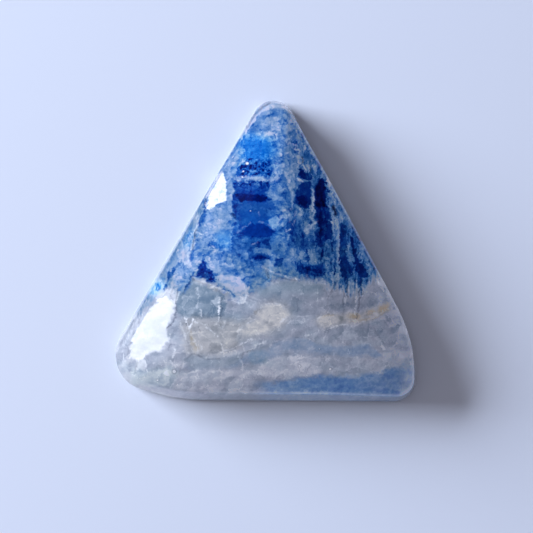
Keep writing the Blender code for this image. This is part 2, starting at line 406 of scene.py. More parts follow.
        ([(1.7, 0.3), (2.9, 0.2), (3.0, -1.0), (2.6, -2.4), (1.7, -2.2)], 0.36, 0.8, 0.2),
        ([(3.0, -1.5), (3.43, -1.16), (4.5, -1.4), (5.7, -1.27), (5.8, -2.0), (5.6, -2.6), (4.5, -2.45),
          (3.43, -2.35), (3.0, -1.9)], 0.77, 1.0, 0.1),
        ([(5.2, 3.9), (5.9, 4.1), (6.5, 2.9), (6.6, 1.2), (5.5, 1.0), (5.2, 2.4)], 0.94, 0.9, 0.1),
        ([(3.0, 5.4), (3.7, 5.6), (3.9, 4.4), (3.2, 4.7)], 1.06, 0.9, 0.1),
        ([(5.2, 1.6), (5.8, 1.5), (5.9, 0.5), (5.4, 0.2), (5.0, 0.9)], 0.80, 0.85, 0.1),
        ([(3.4, 1.1), (3.9, 1.3), (4.0, 0.4), (3.5, 0.2)], 0.72, 0.8, 0.1),
        ([(3.2, 0.0), (4.6, 0.1), (5.4, -0.4), (5.2, -1.0), (3.6, -0.9)], 0.34, 0.8, 0.12),
        ([(3.5, -1.55), (4.5, -1.6), (5.6, -2.0), (5.5, -2.35), (4.4, -2.05),
          (3.5, -1.85)], 0.92, 0.85, 0.12),
        ([(-5.25, -2.7), (-4.45, -2.5), (-3.45, -2.5), (-2.55, -2.9), (-1.95, -3.6), (-1.85, -4.9),
          (-2.25, -5.4), (-2.85, -4.7), (-3.65, -4.0), (-4.65, -3.5)], 0.02, 0.9, 0.2),
        # right columns
        ([(7.45, 2.85), (7.88, 2.63), (8.0, 1.66), (8.1, 0.14), (8.42, -0.95), (8.64, -2.57), (8.2, -2.8),
          (7.66, -2.9), (7.45, -1.5), (7.4, 0.14), (7.28, 1.66)], 0.90, 1.0, 0.12),
        ([(8.42, 1.66), (8.86, 1.44), (8.97, 0.14), (9.3, -0.95), (10.16, -1.92), (10.3, -2.6),
          (9.4, -2.8), (8.86, -2.0), (8.64, -0.4)], 1.02, 0.95, 0.12),
        ([(8.1, 0.0), (8.6, 0.1), (8.8, -1.6), (8.5, -1.6)], 0.52, 0.7, 0.15),
        ([(9.1, 1.5), (9.6, 0.8), (10.4, -1.2), (9.8, -1.0), (9.3, 0.2)], 0.40, 0.7, 0.15),
        ([(7.05, 2.2), (7.25, 2.0), (7.35, 0.0), (7.4, -1.5), (7.5, -2.4), (7.3, -2.0),
          (7.15, -0.5)], 0.30, 0.7, 0.1),
        ([(6.35, -0.8), (6.6, -0.9), (6.65, -2.1), (6.4, -2.1)], 0.86, 0.9, 0.08),
        ([(6.75, -1.4), (7.0, -1.5), (6.95, -2.5), (6.7, -2.4)], 0.96, 0.9, 0.08),
        ([(5.9, 0.4), (6.9, 0.2), (6.9, -0.6), (6.0, -0.6)], 0.68, 0.7, 0.2),
        # left wall and the ground under the upper glare, that ground painted palest as a painted highlight
        # there
        ([(-4.5, 7.9), (-4.05, 7.0), (-4.05, 4.9), (-5.0, 4.6), (-6.1, 3.9), (-6.1, 5.4), (-5.6, 6.4),
          (-5.0, 7.6)], 0.0, 0.95, 0.1),
        ([(-5.9, 5.5), (-6.05, 3.86), (-6.0, 3.55), (-6.65, 2.25), (-6.9, 2.6), (-6.8, 3.55),
          (-6.96, 3.9), (-6.4, 4.7)], 0.70, 1.0, 0.08),
        ([(-6.4, 4.2), (-6.9, 2.4), (-7.4, 1.6), (-8.4, 0.9), (-8.6, -0.4), (-10.6, -3.0), (-11.2, -3.0),
          (-9.4, 0.6), (-6.4, 5.6)], 0.32, 0.85, 0.1),
        ([(-8.4, 0.4), (-8.36, -0.5), (-9.25, -1.8), (-9.75, -2.8), (-10.15, -2.8), (-10.35, -1.8),
          (-9.6, -0.5), (-8.9, 0.5)], 0.30, 1.0, 0.1),
        ([(-9.3, -1.5), (-9.1, -1.8), (-9.7, -2.9), (-10.1, -2.9), (-9.8, -2.3)], 0.80, 0.95, 0.1),
        ([(-9.0, -1.7), (-8.1, -1.7), (-6.8, -0.6), (-6.6, -0.8), (-7.8, -3.2), (-8.4, -4.2),
          (-9.3, -4.5), (-9.8, -3.3)], 0.24, 0.9, 0.15),
        ([(-7.6, 2.0), (-7.2, 1.9), (-7.9, 0.6), (-8.3, 0.5)], 0.5, 0.9, 0.1),
        ([(-7.4, 1.7), (-7.2, 1.2), (-7.8, 0.8), (-7.9, 1.2)], 0.62, 0.9, 0.12),
        ([(-8.4, 0.9), (-7.9, 0.9), (-7.7, -1.6), (-8.5, -1.2)], 0.10, 0.8, 0.15),
        ([(-11.4, -3.0), (-10.1, -2.9), (-10.4, -4.6), (-11.8, -4.6)], 0.10, 0.9, 0.3),
        ([(-11.3, -4.0), (-10.7, -4.2), (-11.6, -6.3), (-13.4, -7.0)], 0.12, 0.9, 0.2),
        ([(-10.95, -3.3), (-10.65, -3.3), (-10.6, -4.0), (-10.9, -4.1)], 0.85, 0.9, 0.3),
    ],
    # grey and white shapes: corners, paleness, strength, softness
    "paleShapes": [
        ([(-9.0, -3.9), (-7.4, -3.4), (-4.4, -4.2), (-4.1, -5.2), (-4.2, -6.6), (-6.4, -6.8),
          (-8.0, -6.6), (-9.0, -6.2)], 0.12, 0.95, 0.2),
        ([(-8.3, -4.5), (-7.8, -4.3), (-7.25, -4.6), (-7.15, -5.8), (-7.5, -6.5), (-8.1, -6.4),
          (-8.4, -5.6)], 0.36, 0.85, 0.12),
        ([(-5.5, -4.9), (-4.9, -4.7), (-4.6, -5.2), (-4.9, -5.8), (-5.4, -5.5)], 0.62, 0.85, 0.12),
        ([(-9.2, -6.9), (-8.4, -6.6), (-8.0, -8.0), (-7.9, -11.2), (-8.8, -11.4), (-9.4, -9.0),
          (-9.8, -7.8)], 0.60, 0.85, 0.2),
        ([(-4.1, -3.8), (-3.4, -3.6), (-2.2, -3.3), (-2.0, -4.6), (-2.3, -5.4),
          (-3.4, -5.0)], 1.06, 0.95, 0.15),
        ([(-7.2, -3.0), (-6.0, -3.5), (-4.9, -3.9), (-4.2, -4.3), (-4.2, -3.9), (-5.6, -3.3),
          (-7.0, -2.7)], 0.66, 0.9, 0.1),
        ([(-4.2, -5.4), (-2.4, -5.4), (-1.2, -6.3), (-2.6, -7.2), (-4.2, -7.2)], 0.40, 0.8, 0.3),
        ([(-1.5, -4.0), (2.0, -3.2), (5.8, -3.4), (6.2, -4.4), (6.0, -5.8), (2.6, -6.2), (1.2, -5.2),
          (-1.0, -5.2)], 0.34, 0.8, 0.3),
        ([(4.0, -4.3), (5.4, -4.2), (5.6, -5.6), (4.2, -5.9)], 0.42, 0.8, 0.15),
        ([(6.3, -4.4), (9.3, -4.2), (11.3, -4.0), (11.2, -5.6), (8.0, -6.2),
          (6.4, -6.0)], 0.24, 0.75, 0.25),
        ([(-1.16, -6.66), (-0.4, -5.5), (0.58, -5.3), (1.57, -5.5), (2.3, -6.3), (2.07, -7.0),
          (1.57, -7.3), (1.08, -7.66), (0.3, -7.2)], 0.88, 0.9, 0.4),
        ([(-2.9, -8.15), (-2.16, -7.4), (-1.16, -6.9), (-0.4, -6.9), (0.08, -7.5), (0.58, -8.15),
          (0.08, -8.5), (-1.16, -8.5), (-2.4, -8.8)], 0.86, 0.9, 0.4),
        ([(-7.2, -6.9), (-5.4, -7.1), (-3.2, -7.6), (-3.0, -9.2), (-4.4, -10.2),
          (-7.2, -10.2)], 0.56, 0.85, 0.25),
        ([(-8.0, -8.2), (-7.3, -8.0), (-6.6, -10.0), (-7.4, -10.3)], 0.62, 0.8, 0.15),
        ([(-5.8, -9.4), (-4.5, -9.3), (-4.6, -10.2), (-5.6, -10.3)], 0.30, 0.9, 0.1),
        ([(4.9, -7.15), (5.55, -6.5), (6.9, -6.4), (7.4, -6.9), (6.7, -7.4),
          (5.8, -7.8)], 0.78, 0.9, 0.22),
        ([(1.3, -7.8), (2.6, -7.0), (4.6, -6.8), (5.2, -7.6), (5.4, -8.6), (3.2, -8.7),
          (0.8, -8.9)], 0.54, 0.95, 0.15),
        ([(6.1, -8.0), (7.6, -7.5), (8.8, -7.9), (8.7, -9.1), (7.2, -9.4),
          (6.0, -9.3)], 0.42, 0.85, 0.12),
        ([(9.0, -7.6), (12.6, -6.6), (13.6, -9.8), (11.0, -9.4), (9.2, -9.0)], 0.30, 0.85, 0.25),
        ([(9.4, -3.4), (11.0, -2.6), (12.8, -5.4), (14.8, -9.0), (15.6, -12.2), (13.6, -12.2),
          (12.8, -9.0), (11.2, -5.6)], 0.33, 0.85, 0.3),
        ([(-1.6, -8.6), (1.6, -8.4), (3.4, -8.8), (1.0, -9.6), (-1.6, -9.8)], 0.50, 0.8, 0.3),
        ([(-8.2, -11.1), (-7.4, -10.5), (-4.4, -10.8), (-2.4, -10.4), (-2.6, -11.5),
          (-7.4, -11.9)], 0.40, 0.9, 0.3),
        ([(-11.9, -10.3), (-10.6, -10.3), (-9.9, -10.9), (-9.8, -11.7),
          (-11.6, -11.8)], 0.60, 0.95, 0.15),
        ([(-11.0, -4.5), (-12.2, -4.0), (-15.8, -10.2), (-15.4, -12.6), (-13.5, -11.0), (-13.5, -9.3),
          (-12.1, -6.5)], 0.66, 0.9, 0.15),
        ([(-11.2, -4.6), (-10.2, -3.4), (-9.0, -3.4), (-8.7, -4.4), (-9.2, -5.6),
          (-10.4, -5.2)], 0.92, 0.9, 0.2),
        ([(-15.6, -11.4), (-13.4, -10.8), (-12.0, -11.9), (-13.6, -12.2), (-12.8, -13.4), (-9.0, -14.6),
          (-15.6, -14.8)], 0.72, 0.9, 0.3),
        ([(-13.0, -10.8), (-12.2, -10.9), (-11.9, -11.5), (-12.3, -12.2),
          (-13.0, -11.8)], 0.98, 0.9, 0.12),
        ([(-13.5, -11.8), (-12.4, -12.2), (-9.8, -11.7), (-9.6, -13.4), (-12.2, -13.6),
          (-13.6, -12.9)], 0.86, 0.9, 0.2),
        ([(0.2, -10.8), (2.4, -10.5), (5.4, -10.7), (5.3, -12.4), (2.0, -12.9),
          (-1.6, -12.4)], 0.74, 0.95, 0.3),
        ([(5.6, -10.8), (10.6, -10.8), (13.4, -9.8), (14.2, -11.4), (9.4, -12.3),
          (5.6, -12.2)], 0.50, 0.9, 0.2),
        ([(-9.4, -12.2), (-6.0, -11.9), (-1.6, -12.0), (-1.2, -14.0), (-9.8, -13.9)], 0.62, 0.9, 0.25),
    ],
    # warm, cream-coloured areas: corners, strength, softness
    "creamShapes": [
        ([(-1.4, -6.8), (-0.5, -5.4), (0.6, -5.1), (1.8, -5.3), (2.5, -6.3), (1.8, -7.5), (0.4, -8.4),
          (-2.6, -9.0), (-3.1, -8.1), (-2.2, -7.2)], 0.78, 0.35),
        ([(4.8, -7.2), (5.5, -6.3), (7.4, -6.3), (9.4, -6.2), (12.4, -5.2), (12.6, -6.0), (9.4, -7.4),
          (7.4, -7.4), (5.8, -7.9)], 0.85, 0.2),
        ([(-8.6, -7.2), (-7.2, -6.6), (-4.6, -6.8), (-2.8, -7.0), (-1.4, -6.6), (-2.6, -8.6),
          (-2.6, -9.8), (-4.4, -10.4), (-8.0, -10.4)], 0.8, 0.3),
        ([(-7.2, -2.8), (-4.2, -3.9), (-3.8, -4.6), (-5.0, -4.1), (-7.2, -3.2)], 0.6, 0.1),
        ([(-0.2, -1.9), (3.2, -2.7), (3.1, -3.1), (-0.3, -2.4)], 0.6, 0.15),
    ],
    # green-grey areas: corners, strength, softness
    "tealShapes": [
        ([(-9.0, -3.4), (-7.2, -3.0), (-4.4, -4.2), (-4.1, -5.4), (-4.4, -6.8), (-8.4, -6.9),
          (-9.2, -5.4)], 0.55, 0.2),
        ([(-8.4, -11.0), (-7.2, -10.2), (-4.4, -10.7), (-2.4, -10.3), (-2.6, -11.6),
          (-7.4, -11.9)], 0.5, 0.2),
        ([(-2.0, -10.2), (-0.6, -9.9), (0.2, -10.3), (0.0, -11.3), (-1.6, -11.4)], 0.9, 0.2),
        ([(-13.6, -11.6), (-12.2, -12.0), (-9.6, -11.4), (-8.6, -12.4), (-9.4, -13.6),
          (-13.4, -13.4)], 0.75, 0.2),
        ([(-1.2, -3.6), (3.0, -3.0), (5.8, -3.3), (5.4, -4.4), (1.8, -4.4), (-0.8, -4.6)], 0.6, 0.3),
        ([(-5.4, -6.4), (-2.6, -6.0), (-1.0, -8.6), (-4.2, -10.0), (-6.0, -9.0)], 0.5, 0.3),
    ],
    # ochre stains: x, y, half width, half height, turn, strength, softness
    "ochreMarks": [
        (8.8, -6.6, 0.5, 0.3, 0, 1.0, 0.6), (10.5, -6.2, 0.4, 0.2, 15, 0.9, 0.6),
        (11.8, -5.8, 0.5, 0.4, 35, 0.9, 0.6), (9.9, -6.9, 1.4, 0.08, 14, 0.6, 0.7),
        (-7.35, -9.0, 0.22, 1.0, 14, 0.8, 0.6), (6.3, -6.5, 0.7, 0.08, 4, 0.7, 0.6),
        (-0.9, -6.2, 0.3, 0.3, 0, 0.35, 0.7), (-7.0, -9.9, 0.12, 0.2, 0, 0.6, 0.6),
    ],
    # white veins, needles and flecks: points, half width, strength
    "frostLines": [
        ([(-3.05, 7.2), (-2.35, 7.35), (-1.0, 7.3), (-0.3, 7.1), (0.7, 7.1), (1.1, 7.3), (1.0, 7.7),
          (0.8, 8.1), (1.2, 8.6), (1.7, 8.6)], 0.15, 0.6),
        ([(2.3, 10.85), (3.0, 10.7), (2.9, 10.3), (3.45, 10.15), (3.2, 9.6), (3.75, 9.2), (3.6, 8.7),
          (3.95, 8.2)], 0.08, 0.7),
        ([(3.2, 7.15), (3.55, 7.05)], 0.13, 0.8), ([(2.45, 6.3), (2.65, 5.1), (2.5, 4.2)], 0.09, 0.4),
        ([(4.7, 6.0), (4.75, 5.0)], 0.08, 0.75), ([(-2.9, 1.85), (-2.35, 2.3), (-1.6, 2.75)], 0.06, 0.25),
        ([(-0.9, 2.9), (0.2, 2.65), (0.9, 2.1)], 0.06, 0.25), ([(1.5, 3.5), (1.1, 2.8)], 0.15, 0.35),
        ([(2.0, 2.0), (2.35, 2.1)], 0.08, 0.95), ([(2.1, 4.2), (2.4, 2.9)], 0.08, 0.3),
        ([(2.95, 4.0), (2.8, 2.6)], 0.08, 0.3), ([(4.65, 6.1), (4.68, 4.5), (4.65, 2.9)], 0.05, 0.5),
        ([(4.3, 2.5), (5.0, 2.9)], 0.14, 0.4), ([(3.9, 1.9), (4.5, 2.4)], 0.14, 0.35),
        ([(7.0, 2.7), (7.25, 2.2), (7.35, 0.5), (7.3, -1.3)], 0.05, 0.4),
        ([(-1.4, 0.6), (-0.8, 0.85)], 0.08, 0.35), ([(-0.9, 3.9), (-0.7, 3.5)], 0.06, 0.3),
        ([(-0.35, -1.7), (0.9, -2.4), (1.7, -2.6), (2.6, -2.9), (3.2, -2.9)], 0.09, 0.7),
        ([(2.2, -2.65), (2.9, -2.8)], 0.08, 0.9),
        ([(-7.2, -2.75), (-6.0, -3.3), (-4.9, -3.75), (-4.2, -4.15), (-3.55, -4.45)], 0.09, 0.5),
        ([(-7.0, 1.9), (-6.4, 1.5)], 0.1, 0.9),
        ([(-6.95, 3.55), (-6.9, 2.6), (-7.2, 1.9), (-7.7, 1.0)], 0.13, 0.9),
        ([(-7.1, 1.2), (-7.4, 0.3), (-7.8, -0.4), (-7.7, -1.5)], 0.14, 0.9),
        ([(-8.6, -0.6), (-8.2, -1.3), (-7.7, -1.5)], 0.12, 0.9), ([(-8.4, 0.9), (-8.3, 0.0)], 0.07, 0.6),
        ([(-5.4, 0.4), (-5.2, 0.25)], 0.07, 0.8), ([(-4.72, -4.8), (-4.72, -5.8)], 0.12, 0.9),
        ([(-4.72, -5.8), (-4.85, -7.1)], 0.07, 1.2),
        ([(-6.9, -3.9), (-6.8, -4.8), (-7.0, -5.8)], 0.11, 0.45),
        ([(-6.6, -6.0), (-6.55, -6.7)], 0.06, 0.6),
        ([(-2.3, -3.6), (-2.0, -4.4), (-2.2, -5.2)], 0.09, 0.7),
        ([(-2.7, -4.6), (-2.4, -4.9)], 0.07, 0.6), ([(-8.05, -6.9), (-7.95, -7.6)], 0.08, 1.1),
        ([(-7.3, -6.9), (-7.5, -7.4), (-7.8, -8.2)], 0.08, 1.1),
        ([(-8.7, -7.0), (-8.1, -8.5), (-7.7, -10.3)], 0.07, 0.4),
        ([(-7.9, -9.0), (-7.4, -10.2)], 0.06, 0.4), ([(-4.4, -9.3), (-4.4, -10.2)], 0.07, 0.45),
        ([(-4.9, -7.4), (-4.4, -7.9), (-4.1, -7.1)], 0.07, 0.4),
        ([(-2.3, -9.3), (-1.8, -8.95), (-1.4, -8.9)], 0.1, 0.95),
        ([(-0.8, -9.4), (-0.05, -9.15)], 0.07, 0.7), ([(1.5, -7.2), (1.9, -6.8)], 0.1, 0.9),
        ([(2.07, -7.3), (3.3, -6.66), (4.4, -6.5)], 0.08, 0.3),
        ([(6.05, -8.0), (7.5, -7.4), (8.8, -7.65), (9.65, -7.15), (11.3, -6.4), (12.3, -5.8)], 0.08, 0.4),
        ([(5.15, -3.9), (5.2, -5.3)], 0.06, 0.4), ([(6.4, -3.9), (6.45, -4.9)], 0.05, 0.35),
        ([(9.15, -4.4), (8.85, -6.6)], 0.05, 0.5), ([(8.0, -4.4), (7.9, -5.6)], 0.05, 0.35),
        ([(11.2, -3.0), (11.8, -4.0)], 0.1, 0.5), ([(5.7, -9.3), (6.05, -8.15)], 0.05, 0.4),
        ([(11.4, -9.2), (11.9, -9.9)], 0.1, 0.5), ([(8.2, -9.6), (8.3, -10.6)], 0.05, 0.4),
        ([(-11.6, -4.9), (-12.7, -7.2), (-13.6, -9.2)], 0.06, 0.5),
        ([(-12.3, -5.2), (-13.3, -7.4), (-14.3, -9.7)], 0.07, 0.6),
        ([(-10.4, -1.9), (-11.3, -3.4)], 0.12, 0.6), ([(-12.0, -5.0), (-12.3, -6.3)], 0.1, 0.7),
        ([(-12.9, -6.9), (-13.0, -8.3)], 0.1, 0.7),
        ([(-13.6, -8.2), (-14.4, -10.2), (-14.3, -11.4)], 0.09, 0.7),
        ([(-9.4, -9.6), (-9.1, -10.0), (-9.35, -10.7)], 0.1, 0.9),
        ([(-9.6, -11.0), (-9.3, -11.5)], 0.09, 0.7),
        ([(-3.0, -10.5), (-2.5, -11.2), (-2.4, -12.0)], 0.09, 0.35),
        ([(-7.3, -7.0), (-6.1, -7.5), (-4.9, -8.6)], 0.08, 0.6),
        ([(-7.9, -7.8), (-7.2, -8.9), (-6.8, -10.2)], 0.07, 0.5),
        ([(-1.1, -6.7), (-0.4, -5.5), (0.6, -5.25), (1.6, -5.5), (2.2, -6.2)], 0.07, 0.4),
        ([(-2.9, -8.2), (-2.2, -7.4), (-1.2, -6.9)], 0.07, 0.4),
        ([(4.9, -7.1), (5.6, -6.5), (6.9, -6.35)], 0.06, 0.4),
        ([(-4.2, -10.1), (-3.1, -9.7), (-2.3, -9.3)], 0.06, 0.45),
        ([(-9.6, -13.6), (-8.9, -12.8)], 0.08, 0.45), ([(-12.1, -11.2), (-11.9, -12.1)], 0.09, 0.85),
        ([(-6.7, -9.4), (-6.4, -9.9)], 0.08, 0.5),
    ],
    # dark lines: points, half width, strength
    "inkLines": [
        ([(-2.0, 12.5), (-1.2, 13.7), (-0.5, 14.4), (0.5, 14.95)], 0.1, 0.5),
        ([(-12.0, -5.6), (-12.8, -7.2), (-13.5, -8.9), (-13.9, -10.4)], 0.06, 0.3),
        ([(-9.2, -3.6), (-9.6, -4.6)], 0.05, 0.25), ([(3.7, 9.5), (3.65, 8.9)], 0.07, 0.9),
        ([(4.45, 8.4), (4.5, 7.9)], 0.07, 0.8), ([(3.1, 11.9), (3.6, 11.0)], 0.08, 0.3),
        ([(6.8, 4.4), (6.9, 4.1), (7.0, 3.7)], 0.16, 1.4), ([(-3.4, 3.6), (-3.2, 3.3)], 0.12, 0.7),
        ([(-7.0, 2.1), (-7.2, 1.0), (-7.4, 0.1)], 0.07, 0.75), ([(-6.1, 5.3), (-6.2, 4.6)], 0.06, 0.5),
        ([(-8.9, -3.9), (-9.1, -5.1), (-8.95, -6.2), (-9.5, -7.4), (-9.9, -7.75)], 0.07, 0.5),
        ([(-7.2, -2.9), (-7.9, -3.5), (-8.4, -4.4)], 0.07, 0.5),
        ([(-4.5, -4.8), (-4.6, -6.9)], 0.05, 0.6), ([(-8.3, -6.6), (-8.0, -7.7)], 0.05, 0.5),
        ([(9.35, -3.9), (9.3, -5.4), (9.0, -6.9)], 0.06, 0.7), ([(7.75, -4.0), (7.7, -6.4)], 0.06, 0.4),
        ([(3.15, -4.9), (3.05, -6.2)], 0.05, 0.35), ([(6.2, -4.5), (6.05, -6.2)], 0.05, 0.4),
        ([(6.4, -4.4), (7.0, -3.0)], 0.07, 0.4), ([(8.0, -2.9), (8.15, -4.6)], 0.08, 0.6),
        ([(9.5, -2.8), (9.6, -4.4)], 0.07, 0.5),
        ([(-8.2, -11.05), (-7.4, -10.4), (-7.0, -10.4), (-6.3, -10.8), (-5.6, -10.85),
          (-4.7, -10.8)], 0.08, 0.4),
        ([(-8.9, -12.6), (-8.4, -11.4)], 0.08, 0.25),
        ([(-2.6, -10.9), (-2.3, -10.3), (-1.4, -9.95)], 0.06, 0.5),
        ([(-8.0, -9.0), (-7.75, -10.0)], 0.05, 0.35),
        ([(2.9, -8.75), (4.3, -8.65), (4.9, -9.2)], 0.05, 0.3),
        ([(4.4, -11.4), (4.2, -12.0)], 0.06, 0.35), ([(5.5, -6.5), (6.9, -6.4)], 0.05, 0.4),
        ([(10.8, -7.8), (11.8, -9.4)], 0.05, 0.3), ([(6.1, -8.05), (7.4, -7.5)], 0.04, 0.3),
        ([(-12.9, -11.2), (-13.1, -12.2)], 0.07, 0.35),
        ([(-9.9, -10.0), (-9.6, -9.4), (-9.2, -9.4)], 0.05, 0.35),
        ([(1.0, -2.75), (2.9, -3.05)], 0.05, 0.45), ([(-5.9, -7.4), (-5.7, -8.0)], 0.06, 0.3),
        ([(-6.8, -7.6), (-6.6, -8.2)], 0.07, 0.35),
    ],
    # painted glints, sparks of light caught in tiny pits, each with a dark rim: x, y, radius
    "paintedGlints": [
        (-1.95, 8.75, 0.15), (-2.35, 7.95, 0.07), (-2.45, 7.35, 0.09), (-9.2, -12.1, 0.17),
        (-10.86, -12.95, 0.1), (3.3, -11.6, 0.11), (6.4, -11.9, 0.1), (5.3, -9.9, 0.06),
        (-1.6, 3.95, 0.05),
    ],
    # the two blue bands low down: the upper edge of one, and both edges of the other
    "lowBand": [
        (-16, -15.4), (-4.0, -14.8), (-2.0, -13.2), (1.3, -12.9), (3.3, -12.5), (5.05, -12.4),
        (7.5, -12.5), (9.4, -12.4), (11.3, -12.0), (12.9, -11.65), (16, -11.5),
    ],
    "midBandTop": [
        (-16, -12), (-3.2, -11.4), (-2.5, -10.6), (-1.4, -10.05), (0.1, -9.8), (1.3, -9.0), (3.3, -8.8),
        (4.3, -8.7), (5.3, -9.4), (6.8, -9.3), (8.3, -9.4), (10.0, -9.2), (11.0, -9.6), (12.0, -10.6),
        (16, -12),
    ],
    "midBandFoot": [
        (-16, -12), (-3.0, -11.6), (-1.6, -11.3), (0.2, -11.1), (2.0, -10.3), (5.0, -10.5), (8.0, -10.6),
        (10.5, -10.7), (12.0, -10.9), (16, -12),
    ],
    # where the left slope's polish mirrors the window, as two patches with a dull gap between
    # each with its corners, shine and softness
    "mirrorShapes": [
        ([(-4.5, 7.9), (-4.05, 7.0), (-4.0, 5.9), (-4.05, 4.9), (-5.0, 4.6), (-5.6, 4.2), (-6.1, 3.9),
          (-6.2, 4.6), (-6.1, 5.4), (-5.6, 6.4), (-5.0, 7.6)], 1.0, 0.04),
        ([(-11.4, -5.6), (-10.8, -4.9), (-10.1, -4.6), (-9.4, -5.2), (-9.2, -6.2), (-9.9, -7.5),
          (-9.8, -8.5), (-9.6, -9.1), (-10.1, -9.3), (-10.5, -10.2), (-11.2, -10.1), (-12.0, -10.5),
          (-12.2, -10.9), (-13.6, -10.9), (-13.6, -9.3), (-12.9, -7.75), (-12.2, -6.5)], 0.80, 0.07),
    ],
    # the slope that is less polished
    "dullSlope": [
        (-0.5, 15.5), (2.4, 13.6), (1.8, 10.0), (1.0, 6.0), (2.4, 2.0), (2.4, -3.4), (-1.0, -6.0),
        (-4.0, -8.0), (-6.0, -11.8), (-9.0, -13.6), (-16.5, -14.5), (-16.5, -9.0), (-2.5, 14.0),
    ],
    # where threads run through the blue: x, y, half width, half height, turn, strength, softness
    "threadPlaces": [(3.8, 3.4, 3.0, 6.4, 0, 1.0, 0.3), (-4.8, 1.4, 2.6, 4.6, -20, 0.6, 0.4)],
    # in the same form: livelier crystals, greyer blue, deeper blue in the low band, azure, and light specks
    "livelyPlaces": [(-1.2, 7.6, 1.9, 1.6, 0, 1.7, 0.3)],
    "slatePlaces": [(-0.7, -0.4, 2.6, 2.4, 0, 0.4, 0.4)],
    "lowPlaces": [(4.8, -13.3, 3.4, 0.7, 0, 0.16, 0.6)],
    "azurePlaces": [
        (-0.95, 10.2, 1.7, 1.4, 0, 1.0, 0.5), (-1.2, 8.3, 1.9, 0.9, 0, 0.45, 0.5),
        (-0.8, 2.2, 2.2, 1.4, 0, 0.4, 0.6), (-10.9, -3.8, 0.8, 1.0, -30, 1.0, 0.6),
        (4.4, -1.9, 1.4, 0.6, 0, 0.45, 0.5), (-4.2, 1.0, 0.9, 0.9, 0, 0.5, 0.6),
        (-7.7, 1.2, 0.5, 1.0, -25, 0.6, 0.6),
    ],
    "speckPlaces": [
        (-1.3, 7.0, 2.6, 0.9, 0, 1.0, 0.5), (-4.8, 0.4, 1.6, 1.0, 0, 0.6, 0.5),
        (-1.4, 8.3, 1.9, 0.8, 0, 0.8, 0.5), (-6.0, -2.3, 1.3, 0.9, -20, 0.7, 0.5),
    ],
    # how much of each shape's softness is kept, and how much wider the tints spread
    "crispness": 0.6,
    "tintSpread": 2,
    "driftSoftness": 0.4,
    # how square the round-cornered marks are, 2 being an ellipse
    "squareness": 2.6,
    # how the bands lean as they run down through the stone, and how far off the camera was
    "leanRight": 0.065,
    "leanTip": 0.05,
    "seenFrom": 150,
}


# A fixed value from -1 to 1 for each whole-numbered place, scattered by multiplying with large primes
def latticeValue(ix, iy, iz, seed):
    mixed = (ix * 374761393 + iy * 668265263 + iz * 2147483647 + seed * 1274126177) & 0xFFFFFFFF
    mixed = ((mixed ^ (mixed >> 13)) * 1274126177) & 0xFFFFFFFF
    mixed = (mixed ^ (mixed >> 16)) & 0xFFFFFFFF
    return mixed / 0x7FFFFFFF - 1.0


# Smooth noise from -1 to 1 with cells of the given size, each seed read at its own place
def grain(x, y, z, cell, seed):
    seedRight, seedUp = 7.3, 3.1
    qx, qy, qz = x / cell[0] + seed * seedRight, y / cell[1] + seed * seedUp, z / cell[2]
    ix, iy, iz = [np.floor(q).astype(np.int64) for q in (qx, qy, qz)]
    fx, fy, fz = [f * f * (3 - 2 * f) for f in (qx - ix, qy - iy, qz - iz)]
    total = 0
    for dx in (0, 1):
        for dy in (0, 1):
            for dz in (0, 1):
                weight = (fx if dx else 1 - fx) * (fy if dy else 1 - fy) * (fz if dz else 1 - fz)
                total = total + weight * latticeValue(ix + dx, iy + dy, iz + dz, seed)
    return total


# Three sizes of grain laid over each other, the finer the weaker
def cloud(x, y, z, cell, seed):
    total, strengths = 0, (0.78, 0.43, 0.24)
    for k, strength in enumerate(strengths):
        total = total + strength * grain(x, y, z, [side / 2**k for side in cell], seed + 11 * k)
    return total


# Crystals: each point takes the value and the tilt of the nearest scattered seed
# and the second result is how far it is from the crystal's border
def crystals(x, y, z, cell, seed):
    scatter, tiltStrength = 0.45, 1.3
    qx, qy, qz = x / cell[0] + seed * 1.7, y / cell[1], z / cell[2]
    ix, iy, iz = [np.floor(q).astype(np.int64) for q in (qx, qy, qz)]
    nearest, second = np.full_like(qx, 9.0), np.full_like(qx, 9.0)
    value, tilt = np.zeros_like(qx), np.zeros_like(qx)
    for dx in (-1, 0, 1):
        for dy in (-1, 0, 1):
            for dz in (-1, 0, 1):
                cx, cy, cz = ix + dx, iy + dy, iz + dz
                sx = cx + 0.5 + scatter * latticeValue(cx, cy, cz, seed)
                sy = cy + 0.5 + scatter * latticeValue(cx, cy, cz, seed + 1)
                sz = cz + 0.5 + scatter * latticeValue(cx, cy, cz, seed + 2)
                far = np.sqrt((qx - sx) ** 2 + (qy - sy) ** 2 + (qz - sz) ** 2)
                closer = far < nearest
                second = np.where(closer, nearest, np.minimum(second, far))
                own = latticeValue(cx, cy, cz, seed + 3)
                value = np.where(closer, own, value)
                leaning = (qx - sx) * latticeValue(cx, cy, cz, seed + 4) + (qy - sy) * own
                tilt = np.where(closer, leaning, tilt)
                nearest = np.where(closer, far, nearest)
    return value + tiltStrength * tilt, second - nearest


# 0 below the low value, 1 above the high one, and smooth between
def smoothStep(low, high, value):
    t = np.clip((value - low) / (high - low), 0, 1)
    return t * t * (3 - 2 * t)


def blend(a, b, share):
    return a + (b - a) * share


# A soft-edged patch between an ellipse and a rectangle
def patch(u, v, x, y, wide, tall, turn, soft):
    c, s = math.cos(math.radians(turn)), math.sin(math.radians(turn))
    p, q = ((u - x) * c + (v - y) * s) / wide, ((v - y) * c - (u - x) * s) / tall
    power = stonePattern["squareness"]
    return 1 - smoothStep(1 - soft, 1 + soft, (np.abs(p) ** power + np.abs(q) ** power) ** (1 / power))


